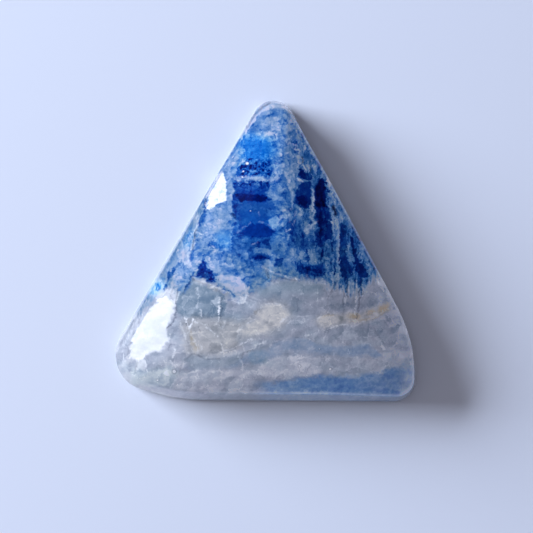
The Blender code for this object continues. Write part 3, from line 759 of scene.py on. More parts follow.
# 1 inside a closed shape of straight sides, 0 outside it, softened over the edge
def shapeShare(u, v, corners, soft):
    us, vs = zip(*corners)
    near = (u > min(us) - soft) & (u < max(us) + soft) & (v > min(vs) - soft) & (v < max(vs) + soft)
    p, q = u[near], v[near]
    inside, far = np.zeros(len(p), bool), np.full(len(p), 1e9)
    for (x1, y1), (x2, y2) in zip(corners, corners[1:] + corners[:1]):
        dx, dy = x2 - x1, y2 - y1
        t = np.clip(((p - x1) * dx + (q - y1) * dy) / (dx * dx + dy * dy), 0, 1)
        far = np.minimum(far, np.hypot(p - x1 - t * dx, q - y1 - t * dy))
        if dy:
            inside ^= ((y1 > q) != (y2 > q)) & (p < x1 + dx * (q - y1) / dy)
    share = np.zeros_like(u)
    share[near] = smoothStep(-soft, soft, np.where(inside, far, -far))
    return share


# Nearness to a bent line, as shares of its half width: whole up to the first and gone at the second
def streak(u, v, points, width):
    whole, gone = 0.4, 1.6
    far = np.full_like(u, 1e9)
    for (x1, y1), (x2, y2) in zip(points, points[1:]):
        dx, dy = x2 - x1, y2 - y1
        t = np.clip(((u - x1) * dx + (v - y1) * dy) / (dx * dx + dy * dy), 0, 1)
        far = np.minimum(far, np.hypot(u - x1 - t * dx, v - y1 - t * dy))
    return 1 - smoothStep(width * whole, width * gone, far)


# The height over u of a line drawn from left to right
def levelAt(u, points):
    return np.interp(u, *zip(*points))


# Noises that break and fill the marks: the cell's width, height and depth, and the seed
stoneNoise = {
    "crystal": ((0.46, 0.38, 0.7), 71),
    "fineCrystal": ((0.22, 0.18, 0.4), 81),
    "tallCrystal": ((0.22, 0.9, 0.7), 101),
    "lump": ((1.2, 0.8, 1.6), 111),
    "bend": ((1.1, 1.1, 2.0), 5),
    "bendUp": ((1.1, 1.1, 2.0), 15),
    "jagged": ((0.3, 1.5, 0.5), 16),
    "jaggedPolish": ((0.3, 0.3, 0.5), 17),
    "needle": ((0.16, 1.0, 0.6), 31),
    "fringe": ((0.5, 0.5, 0.8), 32),
    "blueDrift": ((1.5, 1.1, 2.0), 41),
    "blotch": ((0.8, 0.6, 1.2), 42),
    "fine": ((0.3, 0.22, 0.5), 43),
    "level": ((1.0, 0.3, 0.9), 44),
    "upright": ((0.26, 1.5, 0.9), 45),
    "inner": ((0.55, 0.42, 0.9), 47),
    "hair": ((0.15, 0.8, 0.6), 48),
    "slate": ((1.3, 1.0, 2.0), 49),
    "haze": ((0.9, 0.5, 1.0), 50),
    "middleBand": ((0.8, 0.4, 1.0), 52),
    "thread": ((0.8, 0.6, 1.2), 53),
    "tallThread": ((0.4, 1.4, 1.2), 54),
    "threadDrift": ((1.1, 0.9, 1.6), 55),
    "swell": ((0.8, 0.6, 1.2), 57),
    "paleDrift": ((1.2, 0.8, 1.5), 61),
    "teal": ((1.6, 1.0, 2.0), 64),
    "broken": ((0.3, 0.3, 0.4), 91),
    "speck": ((0.2, 0.15, 0.3), 93),
}


def cloudAt(g, kind):
    return cloud(g.u, g.v, g.z, *stoneNoise[kind])


# The strongest of the round-cornered marks that reach each point
def strongestPatch(u, v, places):
    most = np.zeros_like(u)
    for x, y, wide, tall, turn, strength, soft in places:
        most = np.maximum(most, strength * patch(u, v, x, y, wide, tall, turn, soft))
    return most


# The same for straight-sided shapes
def strongestShape(g, shapes):
    most, spread = np.zeros_like(g.u), stonePattern["tintSpread"]
    for corners, strength, soft in shapes:
        most = np.maximum(most, strength * shapeShare(g.u2, g.v2, corners, spread * soft))
    return most


# Broad changes added up
def driftSum(g, drifts):
    soft = stonePattern["driftSoftness"]
    return sum(change * patch(g.u, g.v, x, y, wide, tall, 0, soft) for x, y, wide, tall, change in drifts)


# Kinds of grain added up, each by its own weight
def weighted(g, weights):
    return sum(weight * getattr(g, kind) for kind, weight in weights.items())


# Painted light and shade: noise that is light on the side towards the window and dark on the other
def litSides(g, noise, kind, shift, sharpness):
    right, down = shift
    near = noise(g.u2 + right, g.v2 - down, g.z, *stoneNoise[kind])
    far = noise(g.u2 - right, g.v2 + down, g.z, *stoneNoise[kind])
    return np.tanh(sharpness * (near - far))


# How far the marks' edges wander, and how sharp each kind of grain is
stoneGrain = {
    "bend": 0.13,
    "bendByCrystal": 0.13,
    "bendByFineCrystal": 0.02,
    "rightFrom": (1.2, 3.6),
    "innerShift": (0.05, 0.04),
    "innerSharpness": 2.6,
    "brushSharpness": 2.2,
    "hairSharpness": 1.2,
    "levelFine": 0.9,
    "levelShare": 0.6,
    "blotchSharpness": 3.0,
}


# Every kind of grain over the surface, from about -1 to 1, with u2 and v2 as the bent places of the marks
def grainAt(points):
    s, t = stonePattern, stoneGrain
    x, y, z = points.T
    away = 1 + z / s["seenFrom"]
    u, v = x * away + s["leanRight"] * z, y * away + s["leanTip"] * z
    g = SimpleNamespace(u=u, v=v, z=z)
    g.step, g.border = crystals(u, v, z, *stoneNoise["crystal"])
    g.fineStep, g.fineBorder = crystals(u, v, z, *stoneNoise["fineCrystal"])
    g.bent = t["bend"] * cloud(u, v, z, *stoneNoise["bend"])
    g.bent = g.bent + t["bendByCrystal"] * g.step + t["bendByFineCrystal"] * g.fineStep
    g.bentUp = t["bend"] * cloud(u, v, z, *stoneNoise["bendUp"])
    g.bentUp = g.bentUp + t["bendByCrystal"] * grain(g.step, g.fineStep, z, *stoneNoise["jagged"])
    g.u2, g.v2 = u + g.bent, v + g.bentUp
    g.fine = cloud(u, v, z, *stoneNoise["fine"])
    # painted light and shade of inner facets, lit on the window's side
    g.inner = litSides(g, cloud, "inner", t["innerShift"], t["innerSharpness"])
    # brush-like grain, upright on the right and level elsewhere
    g.rightSide = smoothStep(*t["rightFrom"], u)
    strands = t["brushSharpness"] * grain(g.u2, v, z, *stoneNoise["upright"])
    g.upright = np.tanh(strands + t["hairSharpness"] * grain(g.u2, v, z, *stoneNoise["hair"]))
    g.level = np.tanh(t["brushSharpness"] * grain(u, g.v2, z, *stoneNoise["level"]) + t["levelFine"] * g.fine)
    g.brushed = blend(t["levelShare"] * g.level, g.upright, g.rightSide)
    g.blotch = np.tanh(t["blotchSharpness"] * cloud(g.u2, g.v2, z, *stoneNoise["blotch"]))
    g.facet = blend(g.step, crystals(g.u2, v, z, *stoneNoise["tallCrystal"])[0], g.rightSide)
    return g


# The blue's own grain: pairs are where a change starts and ends, the rest are strengths
blueGrain = {
    "needlesFrom": (5.0, 7.5),
    "needleStretch": 0.2,
    "fringe": 0.3,
    "fringeByCrystal": 0.12,
    "footEdge": (-0.35, 0.5),
    "ground": 0.52,
    "groundDrift": 0.10,
    "threadWidth": (0.0, 0.24),
    "threadShow": (-0.3, 0.4),
    "ragged": {"blotch": 0.07, "facet": 0.15, "brushed": 0.06},
    "raggedOnRight": {"facet": 0.04, "brushed": 0.06},
    "threads": 0.17,
    "raggedLostInDeep": 0.65,
    "outline": 0.16,
    "outlineShow": (-0.5, 0.5),
    "columnFade": 0.35,
    "columnFoot": (-0.2, 1.0),
    "columnsFrom": (5.0, 7.0),
    "mottleLeast": 0.6,
    "mottleFrom": (0.15, 0.45),
    "mottleLost": 0.4,
    "mottleLostFrom": (0.75, 1.0),
    "lively": 0.8,
    "livelyLostOnRight": 0.15,
    "mottleFine": 0.02,
    "mottleSpeck": 0.06,
    "speckSharpness": 2.5,
    "mottleInner": 0.12,
    "crystalEdge": 0.07,
    "crystalEdgeWidth": (0.02, 0.14),
}


# Threads of paler stone through the blue
def threadShare(g):
    t = blueGrain
    lying = cloud(g.u2, g.v2, g.z, *stoneNoise["thread"])
    upright = cloud(g.u2, g.v, g.z, *stoneNoise["tallThread"])
    threads = 1 - smoothStep(*t["threadWidth"], np.abs(blend(lying, upright, g.rightSide)))
    threads = threads * smoothStep(*t["threadShow"], cloudAt(g, "threadDrift"))
    more = 1
    for x, y, wide, tall, turn, strength, soft in stonePattern["threadPlaces"]:
        more = more + strength * patch(g.u, g.v, x, y, wide, tall, turn, soft)
    return threads * more


# How deep the blue is, above its ragged foot with needles hanging from it on the right
def blueDepth(g):
    s, t = stonePattern, blueGrain
    needles = grain(g.u, g.v * t["needleStretch"], g.z, *stoneNoise["needle"])
    fringe = t["fringe"] * cloudAt(g, "fringe") + t["fringeByCrystal"] * g.step
    fringe = smoothStep(*t["needlesFrom"], g.u) * needles + fringe
    g.overFoot = g.v2 - levelAt(g.u2, s["blueFoot"]) + fringe
    g.blueZone = smoothStep(*t["footEdge"], g.overFoot)

    depth = t["ground"] + t["groundDrift"] * cloudAt(g, "blueDrift")
    for x, y, wide, tall, turn, deep, strength, soft in s["blueGrounds"]:
        depth = blend(depth, deep, strength * patch(g.u2, g.v2, x, y, wide, tall, turn, soft))
    grained = 1 - strongestPatch(g.u2, g.v2, s["calmPlaces"])
    ragged = weighted(g, t["ragged"]) + weighted(g, t["raggedOnRight"]) * g.rightSide
    ragged = (ragged - t["threads"] * threadShare(g)) * grained
    depth = depth + ragged
    outlines = 0
    for corners, deep, strength, soft in s["blueShapes"]:
        share = shapeShare(g.u2, g.v2, corners, s["crispness"] * soft)
        depth = blend(depth, deep + (1 - t["raggedLostInDeep"] * deep) * ragged, strength * share)
        outlines = np.maximum(outlines * (1 - share), 4 * share * (1 - share))
    depth = depth - t["outline"] * outlines * smoothStep(*t["outlineShow"], g.blotch + g.step)
    # the dark columns fade towards the foot on the right
    nearFoot = 1 - smoothStep(*t["columnFoot"], g.overFoot)
    depth = depth - t["columnFade"] * nearFoot * smoothStep(*t["columnsFrom"], g.u)

    mottle = blend(t["mottleLeast"], 1, smoothStep(*t["mottleFrom"], depth)) * grained
    mottle = mottle * (1 - t["mottleLost"] * smoothStep(*t["mottleLostFrom"], depth))
    lively = t["lively"] - t["livelyLostOnRight"] * g.rightSide + strongestPatch(g.u, g.v, s["livelyPlaces"])
    # the speckle takes in painted light and shade of facets lit from the window
    speckled = t["mottleSpeck"] * np.tanh(t["speckSharpness"] * g.fineStep) - t["mottleInner"] * g.inner
    depth = depth + mottle * (t["mottleFine"] * g.fine + lively * speckled)
    return depth - t["crystalEdge"] * mottle * (1 - smoothStep(*t["crystalEdgeWidth"], g.fineBorder))


# Where the blue is greyer and greener: on the right, near the foot, low on the left wall, and in drifts
slateGrain = {
    "ground": 0.15,
    "drift": 0.35,
    "onRight": 0.60,
    "rightFrom": (0.5, 5.0),
    # near the foot: how much more, and the heights over the foot that it fades between
    "nearFoot": [(0.5, 0.2, 2.0), (0.4, 0.0, 1.6)],
    "onLeftWall": 0.6,
    "leftWallBelow": (3.3, 1.7),
    "leftWallFrom": (-5.0, -7.0),
    "lostInDeep": 0.5,
    "deepFrom": (0.75, 0.95),
    "deepUpTo": 6.4,
}


def slateShare(g, depth):
    t = slateGrain
    slate = t["ground"] + t["drift"] * cloudAt(g, "slate")
    slate = slate + t["onRight"] * smoothStep(*t["rightFrom"], g.u)
    slate = slate + strongestPatch(g.u, g.v, stonePattern["slatePlaces"])
    for more, low, high in t["nearFoot"]:
        slate = slate + more * (1 - smoothStep(low, high, g.overFoot))
    leftWall = smoothStep(*t["leftWallBelow"], g.z) * smoothStep(*t["leftWallFrom"], g.u)
    deep = smoothStep(*t["deepFrom"], depth) * (g.u < t["deepUpTo"])
    return np.clip(slate + t["onLeftWall"] * leftWall - t["lostInDeep"] * deep, 0, 1)


# The two blue bands low down; a step is how much deeper a band gets, and from where to where
bandGrain = {
    "haze": 0.25,
    "slate": 0.8,
    "slateHaze": 0.3,
    "slateLostLow": 0.25,
    "low": {
        "topEdge": (-0.25, 0.5),
        "from": (-2.5, 0.8),
        "lost": 0.35,
        "lostFrom": (12.8, 14.4),
        "depth": 0.22,
        "weights": {"level": 0.08, "fine": 0.05, "fineStep": 0.05, "inner": -0.05, "upright": 0.05},
        "steps": [(0.13, 4.0, 8.0), (0.05, 9.0, 12.0)],
    },
    "middle": {
        "topEdge": (-0.1, 0.4),
        "footEdge": (-0.3, 0.5),
        "show": 0.80,
        "showDrift": 0.25,
        "depth": 0.24,
        "weights": {"fine": 0.06, "fineStep": 0.06, "level": 0.06, "inner": -0.07},
        "steps": [(0.05, 5.0, 8.0)],
    },
}


def bandDepth(g, band):
    depth = band["depth"] + weighted(g, band["weights"])
    for deeper, start, end in band["steps"]:
        depth = depth + deeper * smoothStep(start, end, g.u)
    return depth


# The blue's depth and slate with the bands laid over them
def withBands(g, depth, slate):
    s, t, low, middle = stonePattern, bandGrain, bandGrain["low"], bandGrain["middle"]
    haze = t["haze"] * cloudAt(g, "haze")
    g.low = smoothStep(*low["topEdge"], levelAt(g.u2, s["lowBand"]) - g.v2 + haze)
    g.low = g.low * smoothStep(*low["from"], g.u + 2 * haze)
    g.low = g.low * (1 - low["lost"] * smoothStep(*low["lostFrom"], g.u))
    g.middle = smoothStep(*middle["topEdge"], levelAt(g.u2, s["midBandTop"]) - g.v2 + haze)
    g.middle = g.middle * smoothStep(*middle["footEdge"], g.v2 - levelAt(g.u2, s["midBandFoot"]) + haze)
    show = middle["show"] + middle["showDrift"] * cloudAt(g, "middleBand")
    g.middle = g.middle * show * (1 - g.blueZone) * (1 - g.low)
    core = np.clip(g.middle * 2, 0, 1)
    depth = blend(depth, bandDepth(g, low) + strongestPatch(g.u2, g.v2, s["lowPlaces"]), g.low)
    depth = blend(depth, bandDepth(g, middle), core) + driftSum(g, s["depthDrifts"])
    slate = blend(slate, t["slate"] + t["slateHaze"] * haze, np.maximum(g.low, core))
    return depth, slate - t["slateLostLow"] * g.low


# The grey ground's own grain
paleGrain = {
    "ground": 0.48,
    "groundDrift": 0.10,
    "brighter": 0.03,
    "lumpBend": 0.4,
    "lumpLine": (0.02, 0.09),
    "lumpShade": 0.5,
    "lumpShadeFrom": (0.05, 0.12),
    "lumpShadeTo": (0.16, 0.3),
    "lumpShow": (-0.1, 0.5),
    "lumpShowByCrystal": 0.5,
    "swellShift": (0.08, 0.06),
    "swellSharpness": 3.0,
    "weights": {"lump": 0.08, "lumpEdge": 0.16, "blotch": 0.03, "facet": 0.05, "fineStep": 0.02,
                "fine": 0.01, "upright": 0.02, "inner": 0.05, "swell": 0.12},
    "crystalEdge": 0.05,
    "crystalEdgeWidth": (0.02, 0.12),
    "underPolish": 0.84,
    "underPolishBlotch": 0.06,
    "underPolishShare": 0.75,
    "underPolishSoftness": 0.3,
}


# Grey and white shapes, and lumps as big as a millimetre, some with a light edge
def palenessAt(g):
    s, t = stonePattern, paleGrain
    paleness = t["ground"] + t["groundDrift"] * cloudAt(g, "paleDrift")
    for corners, tone, strength, soft in s["paleShapes"]:
        paleness = blend(paleness, tone, strength * shapeShare(g.u2, g.v2, corners, s["crispness"] * soft))
    g.lump, border = crystals(g.u2 + t["lumpBend"] * g.bentUp, g.v2, g.z, *stoneNoise["lump"])
    shade = smoothStep(*t["lumpShadeFrom"], border) * (1 - smoothStep(*t["lumpShadeTo"], border))
    g.lumpEdge = 1 - smoothStep(*t["lumpLine"], border) - t["lumpShade"] * shade
    g.lumpEdge = g.lumpEdge * smoothStep(*t["lumpShow"], g.blotch + t["lumpShowByCrystal"] * g.step)
    # painted light and shade: lumps lit on the window's side
    g.swell = litSides(g, grain, "swell", t["swellShift"], t["swellSharpness"])
    paleness = paleness + t["brighter"] + weighted(g, t["weights"]) + driftSum(g, s["paleDrifts"])
    paleness = paleness - t["crystalEdge"] * (1 - smoothStep(*t["crystalEdgeWidth"], g.border))
    # the ground under the lower patch of polish is even and pale, which adds a painted highlight to the
    # window mirrored there
    lowerPolish = shapeShare(g.u2, g.v2, s["mirrorShapes"][1][0], t["underPolishSoftness"])
    even = t["underPolish"] + t["underPolishBlotch"] * g.blotch
    return blend(paleness, even, t["underPolishShare"] * lowerPolish)


# Lines and sparks, the sparks being painted glints: pairs are where a change starts and ends, the rest are
# strengths
lineGrain = {
    "bend": 0.6,
    "whole": 0.62,
    "broken": 0.6,
    "brokenByCrystal": 0.25,
    "thick": 0.8,
    "thickByCrystal": 0.5,
    "thickByFineCrystal": 0.4,
    "thickRange": (0.25, 1.6),
    "veinDepth": 0.08,
    "veinShare": 0.85,
    "frostLostInBlue": 0.5,
    "inkWhole": 0.4,
    "speckDepth": 0.16,
    "speckShare": 0.85,
    "speckShow": (0.45, 0.75),
    "speckByFine": 0.25,
    # a spark, which is a painted glint, and its dark rim, with places in radii from the spark's middle
    "spark": 1.6,
    "sparkEdge": (0.6, 1.1),
    "sparkClear": (1.0, 1.6),
    "rim": 0.35,
    "rimWhole": 0.5,
    "rimFrom": (0.7, 1.1),
    "rimTo": (1.3, 2.0),
}


# Veins, needles, dark lines, specks and sparks, the sparks being painted glints: the blue's depth under them,
# and their frost, highlights and ink
def lineFields(g, depth):
    s, t = stonePattern, lineGrain
    u, v = g.u + t["bend"] * g.bent, g.v + t["bend"] * g.bentUp
    broken = t["whole"] + t["broken"] * grain(g.u, g.v, g.z, *stoneNoise["broken"])
    g.broken = np.clip(broken + t["brokenByCrystal"] * g.fineStep, 0, 1)
    thick = t["thick"] + t["thickByCrystal"] * g.step + t["thickByFineCrystal"] * g.fineStep
    thick = np.clip(thick, *t["thickRange"])
    frostAndHighlights, ink = 0, 0
    for line, width, strength in s["frostLines"]:
        frostAndHighlights = np.maximum(frostAndHighlights, strength * g.broken * streak(u, v, line, width * thick))
    depth = blend(depth, t["veinDepth"], t["veinShare"] * np.clip(frostAndHighlights, 0, 1) * g.blueZone)
    frostAndHighlights = frostAndHighlights * (1 - t["frostLostInBlue"] * g.blueZone)
    for line, width, strength in s["inkLines"]:
        ink = np.maximum(ink, strength * blend(t["inkWhole"], 1, g.broken) * streak(u, v, line, width))
    # specks of light blue caught in the blue
    specks = grain(g.u, g.v, g.z, *stoneNoise["speck"]) + t["speckByFine"] * g.fine
    specks = smoothStep(*t["speckShow"], specks) * strongestPatch(g.u, g.v, s["speckPlaces"])
    depth = blend(depth, t["speckDepth"], t["speckShare"] * specks * g.blueZone)
    for x, y, radius in s["paintedGlints"]:
        far = np.hypot(g.u - x, g.v - y) / radius
        rim = smoothStep(*t["rimFrom"], far) * (1 - smoothStep(*t["rimTo"], far))
        ink = np.maximum(ink, t["rim"] * rim * blend(t["rimWhole"], 1, g.broken))
        spark = t["spark"] * (1 - smoothStep(*t["sparkEdge"], far))
        frostAndHighlights = np.maximum(frostAndHighlights * smoothStep(*t["sparkClear"], far), spark)
    return depth, frostAndHighlights, ink


# The polish: dull down the left slope but for two patches, and duller on the back
polish = {
    "dullGloss": 0.01,
    "dullSoftness": 0.3,
    "edgeByCrystal": 0.15,
    "edgeByFineCrystal": 0.08,
    "edgeUp": 0.12,
    "uneven": {"blotch": 0.06, "fineStep": 0.03, "inner": 0.04},
    # the back is ground, and less polished than the face
    "backDullness": 0.7,
    "backBelow": (0.1, 0.0),
}


def glossAt(g):
    s, t = stonePattern, polish
    u = g.u + t["edgeByCrystal"] * g.step + t["edgeByFineCrystal"] * g.fineStep
    v = g.v + t["edgeUp"] * grain(g.step, g.fineStep, g.z, *stoneNoise["jaggedPolish"])
    gloss = 1 - (1 - t["dullGloss"]) * shapeShare(g.u2, g.v2, s["dullSlope"], t["dullSoftness"])
    for corners, shine, soft in s["mirrorShapes"]:
        sheen = np.clip(shine * (1 + weighted(g, t["uneven"])), 0, 1)
        gloss = np.maximum(gloss, sheen * shapeShare(u, v, corners, soft))
    return gloss * (1 - t["backDullness"] * smoothStep(*t["backBelow"], g.z))


# The edge wall and the shoulder's painted highlight: heights, where each side starts and ends, and strengths
edgeLook = {
    "leftFrom": (0.0, -1.0),
    "leftAbove": (-12.4, -11.2),
    "wallBelow": (2.3, 1.9),
    "shoulderHeight": 2.40,
    "shoulderSpread": 0.10,
    "shoulderHighlight": 0.26,
    "shoulderFrom": (-9.0, -4.0),
    "shoulderWhole": 0.9,
    "shoulderByCrystal": 0.1,
    "rimAbove": (-11.0, -8.0),
    "rimFrost": 0.5,
    "rimFrostBelow": (0.75, 0.55),
    "rimInk": 0.35,
    "rimInkWhole": 0.5,
    "rimInkHeight": 0.95,
    "rimInkSpread": 0.12,
    "wallPaleness": 0.32,
    "wallPaler": 0.55,
    "wallPalerFrom": (-4.0, -11.0),
    "wallFine": 0.08,
    "wallShare": 0.7,
}


# A painted highlight as a light line along the shoulder, and a greyer wall under it, but for the left side
def withEdge(g, paleness, frostAndHighlights, ink):
    t = edgeLook
    leftSide = smoothStep(*t["leftFrom"], g.u) * smoothStep(*t["leftAbove"], g.v)
    g.onWall = smoothStep(*t["wallBelow"], g.z) * (1 - leftSide)
    # painted highlight along the shoulder's edge
    shoulder = np.exp(-((g.z - t["shoulderHeight"]) / t["shoulderSpread"]) ** 2) * (1 - leftSide)
    shoulder = shoulder * smoothStep(*t["shoulderFrom"], g.u)
    shoulder = shoulder * (t["shoulderWhole"] + t["shoulderByCrystal"] * g.step)
    frostAndHighlights = np.maximum(frostAndHighlights, t["shoulderHighlight"] * shoulder)
    rim = leftSide * smoothStep(*t["rimAbove"], g.v)
    frostAndHighlights = np.maximum(frostAndHighlights, t["rimFrost"] * rim * smoothStep(*t["rimFrostBelow"], g.z))
    rimLine = np.exp(-((g.z - t["rimInkHeight"]) / t["rimInkSpread"]) ** 2)
    ink = np.maximum(ink, t["rimInk"] * rim * rimLine * blend(t["rimInkWhole"], 1, g.broken))
    wall = t["wallPaleness"] + t["wallPaler"] * smoothStep(*t["wallPalerFrom"], g.u) + t["wallFine"] * g.fine
    return blend(paleness, wall, t["wallShare"] * g.onWall), frostAndHighlights, ink


# How strongly each tint shows, and where
tints = {
    "teal": 0.1,
    "tealDrift": 0.35,
    "lowAzure": 0.3,
    "lowAzureTo": (8.0, 11.5),
    "ochre": 0.7,
    "ochreFine": 0.4,
    "lowShare": 0.8,
    "middleShare": 0.7,
    "blueLostOnWall": 0.5,
    "slateLostInAzure": 0.8,
}


# The pattern at every point of the surface, as one number each for the material's nodes
def patternFields(points):
    s, t = stonePattern, tints
    g = grainAt(points)
    depth = blueDepth(g)
    depth, slate = withBands(g, depth, slateShare(g, depth))
    depth, frostAndHighlights, ink = lineFields(g, depth)
    paleness, frostAndHighlights, ink = withEdge(g, palenessAt(g), frostAndHighlights, ink)
    teal = t["teal"] + t["tealDrift"] * cloudAt(g, "teal")
    lowAzure = t["lowAzure"] * g.low * (1 - smoothStep(*t["lowAzureTo"], g.u))
    azure = np.maximum(strongestPatch(g.u2, g.v2, s["azurePlaces"]), lowAzure)
    ochre = strongestPatch(g.u2, g.v2, s["ochreMarks"]) * np.clip(t["ochre"] + t["ochreFine"] * g.fine, 0, 1)
    blueShare = np.clip(g.blueZone + t["lowShare"] * g.low + t["middleShare"] * g.middle, 0, 1)
    return {
        "blueShare": blueShare * (1 - t["blueLostOnWall"] * g.onWall),
        "blueDepth": depth,
        "azure": azure,
        "slate": slate * (1 - t["slateLostInAzure"] * azure),
        "paleness": paleness,
        "cream": strongestShape(g, s["creamShapes"]) * (1 - g.blueZone),
        "teal": np.clip(np.maximum(teal, strongestShape(g, s["tealShapes"])), 0, 1),
        "ochre": ochre * (1 - g.blueZone),
        "frostAndHighlights": np.clip(frostAndHighlights, 0, 1),
        "ink": np.clip(ink, 0, 1),
        "gloss": glossAt(g),
    }


print("stone surface")
surface, faces = stoneSurface()
mesh = bpy.data.meshes.new("scheeliteStone")
mesh.from_pydata((surface * mm).tolist(), [], faces)
mesh.shade_smooth()
print("points", len(surface), "faces", len(faces))
stone = bpy.data.objects.new("scheeliteStone", mesh)
bpy.context.scene.collection.objects.link(stone)
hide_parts("scheelite_cabochon")
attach(stone, "root")

# Painted light and shade: the colour is scaled against how brightly each slope is lit, so slopes turned from
# the window are painted brighter and those facing it darker
paintedLightAndShade = {
    "evenness": 0.85,
    "brightestAround": math.radians(160),
    "brightestUp": math.radians(17),
    "room": 0.25,
    "overhead": -0.157,
    "softness": 0.2,
    "leastLift": 0.3,
    "mostLift": 2.8,
}


# How brightly each lean of the surface is lit
def litShare(normals):
    g = paintedLightAndShade
    around, up = g["brightestAround"], g["brightestUp"]
    towards = np.array([math.cos(around) * math.cos(up), math.sin(around) * math.cos(up), math.sin(up)])
    facing, soft = normals @ towards, g["softness"]
    facing = np.where(facing > soft, facing, np.maximum(facing + soft, 0) ** 2 / (4 * soft))
    return g["room"] + g["overhead"] * normals[..., 2] + facing


print("pattern")
fields = patternFields(surface)
normals = np.empty(len(surface) * 3)
mesh.vertex_normals.foreach_get("vector", normals)
# painted light and shade: each point's colour is scaled against how brightly its slope is lit
paintedLightLift = (litShare(normals.reshape(-1, 3)) / litShare(np.array([0, 0, 1]))) ** -paintedLightAndShade["evenness"]
fields["paintedLightLift"] = np.clip(paintedLightLift, paintedLightAndShade["leastLift"], paintedLightAndShade["mostLift"])
for name, values in fields.items():
    attribute = mesh.attributes.new(name, "FLOAT", "POINT")
    attribute.data.foreach_set("value", values.astype(np.float32))

print("material")
# Fine grain, gloss and relief of the polished face
stoneFinish = {
    "rampSpan": 1.3,
    "speckScale": 7000,
    "speckDetail": 2.0,
    "speckDepth": 0.025,
    "reliefScale": 2600,
    "reliefDetail": 3.0,
    "reliefHeight": 0.0035,
    "roughness": 0.16,
    "roughnessSpread": 0.10,
    "ior": 1.6,
    "coatRoughness": 0.05,
    "ochreStrength": 0.7,
}


# What a colour seen in the window's light is as paint, in linear light
def paint(seen):
    shares = [value / 255 for value in seen]
    linear = [c / 12.92 if c <= 0.04045 else ((c + 0.055) / 1.055) ** 2.4 for c in shares]
    return [min(c / lit, 1.0) for c, lit in zip(linear, stoneColours["light"])] + [1.0]


def stoneMaterial():
    material = bpy.data.materials.new("polishedScheelite")
    material.use_nodes = True
    tree = material.node_tree
    shader = tree.nodes["Principled BSDF"]

    def field(name):
        node = tree.nodes.new("ShaderNodeAttribute")
        node.attribute_name = name
        return node.outputs["Fac"]

    def calculated(kind, a, b):
        node = tree.nodes.new("ShaderNodeMath")
        node.operation = kind
        for socket, value in zip(node.inputs, (a, b)):
            if isinstance(value, (int, float)):
                socket.default_value = value
            else:
                tree.links.new(value, socket)
        return node.outputs[0]

    def ramp(name, value):
        node = tree.nodes.new("ShaderNodeValToRGB")
        stops = stoneColours[name]
        points = node.color_ramp.elements
        while len(points) < len(stops):
            points.new(0.5)
        for point, (place, seen) in zip(points, stops):
            point.position = place / stoneFinish["rampSpan"]
            point.color = paint(seen)
        tree.links.new(value, node.inputs["Fac"])
        return node.outputs["Color"]

    def mixed(share, first, second):
        node = tree.nodes.new("ShaderNodeMix")
        node.data_type = "RGBA"
        tree.links.new(share, node.inputs["Factor"])
        for socket, value in zip([i for i in node.inputs if i.type == "RGBA"], (first, second)):
            if isinstance(value, list):
                socket.default_value = value
            else:
                tree.links.new(value, socket)
        return [o for o in node.outputs if o.type == "RGBA"][0]

    place = tree.nodes.new("ShaderNodeTexCoord").outputs["Object"]
    speck = tree.nodes.new("ShaderNodeTexNoise")
    speck.inputs["Scale"].default_value = stoneFinish["speckScale"]
    speck.inputs["Detail"].default_value = stoneFinish["speckDetail"]
    tree.links.new(place, speck.inputs["Vector"])
    grainy = calculated("SUBTRACT", speck.outputs["Fac"], 0.5)
    grainy = calculated("MULTIPLY", grainy, stoneFinish["speckDepth"] * 2)

    span = 1 / stoneFinish["rampSpan"]
    depth = calculated("MULTIPLY", calculated("ADD", field("blueDepth"), grainy), span)
    paleness = calculated("MULTIPLY", calculated("ADD", field("paleness"), grainy), span)
    blue = mixed(field("azure"), ramp("blue", depth), ramp("azure", depth))
    blue = mixed(field("slate"), blue, ramp("slate", depth))
    pale = mixed(field("teal"), ramp("pale", paleness), ramp("teal", paleness))
    pale = mixed(field("cream"), pale, ramp("cream", paleness))
    colour = mixed(field("blueShare"), pale, blue)
    ochreShare = calculated("MULTIPLY", field("ochre"), stoneFinish["ochreStrength"])
    colour = mixed(ochreShare, colour, paint(stoneColours["ochre"]))
    colour = mixed(field("frostAndHighlights"), colour, paint(stoneColours["frostAndHighlights"]))
    colour = mixed(field("ink"), colour, paint(stoneColours["ink"]))
    # Painted light and shade: the colour is scaled by the lift, brighter where the surface is less lit
    paintedLightScaled = tree.nodes.new("ShaderNodeVectorMath")
    paintedLightScaled.operation = "SCALE"
    tree.links.new(colour, paintedLightScaled.inputs[0])
    tree.links.new(field("paintedLightLift"), paintedLightScaled.inputs["Scale"])
    tree.links.new(paintedLightScaled.outputs["Vector"], shader.inputs["Base Color"])

    relief = tree.nodes.new("ShaderNodeTexNoise")
    relief.inputs["Scale"].default_value = stoneFinish["reliefScale"]
    relief.inputs["Detail"].default_value = stoneFinish["reliefDetail"]
    tree.links.new(place, relief.inputs["Vector"])
    bump = tree.nodes.new("ShaderNodeBump")
    bump.inputs["Distance"].default_value = stoneFinish["reliefHeight"] * mm
    tree.links.new(relief.outputs["Fac"], bump.inputs["Height"])
    tree.links.new(bump.outputs["Normal"], shader.inputs["Normal"])
    rough = calculated("MULTIPLY", relief.outputs["Fac"], stoneFinish["roughnessSpread"])
    rough = calculated("ADD", rough, stoneFinish["roughness"])
    tree.links.new(rough, shader.inputs["Roughness"])
    shader.inputs["IOR"].default_value = stoneFinish["ior"]
    shader.inputs["Specular IOR Level"].default_value = 0.0
    tree.links.new(field("gloss"), shader.inputs["Coat Weight"])
    shader.inputs["Coat Roughness"].default_value = stoneFinish["coatRoughness"]
    shader.inputs["Coat IOR"].default_value = stoneFinish["ior"]
    return material


mesh.materials.append(stoneMaterial())

print("paper, light and camera")
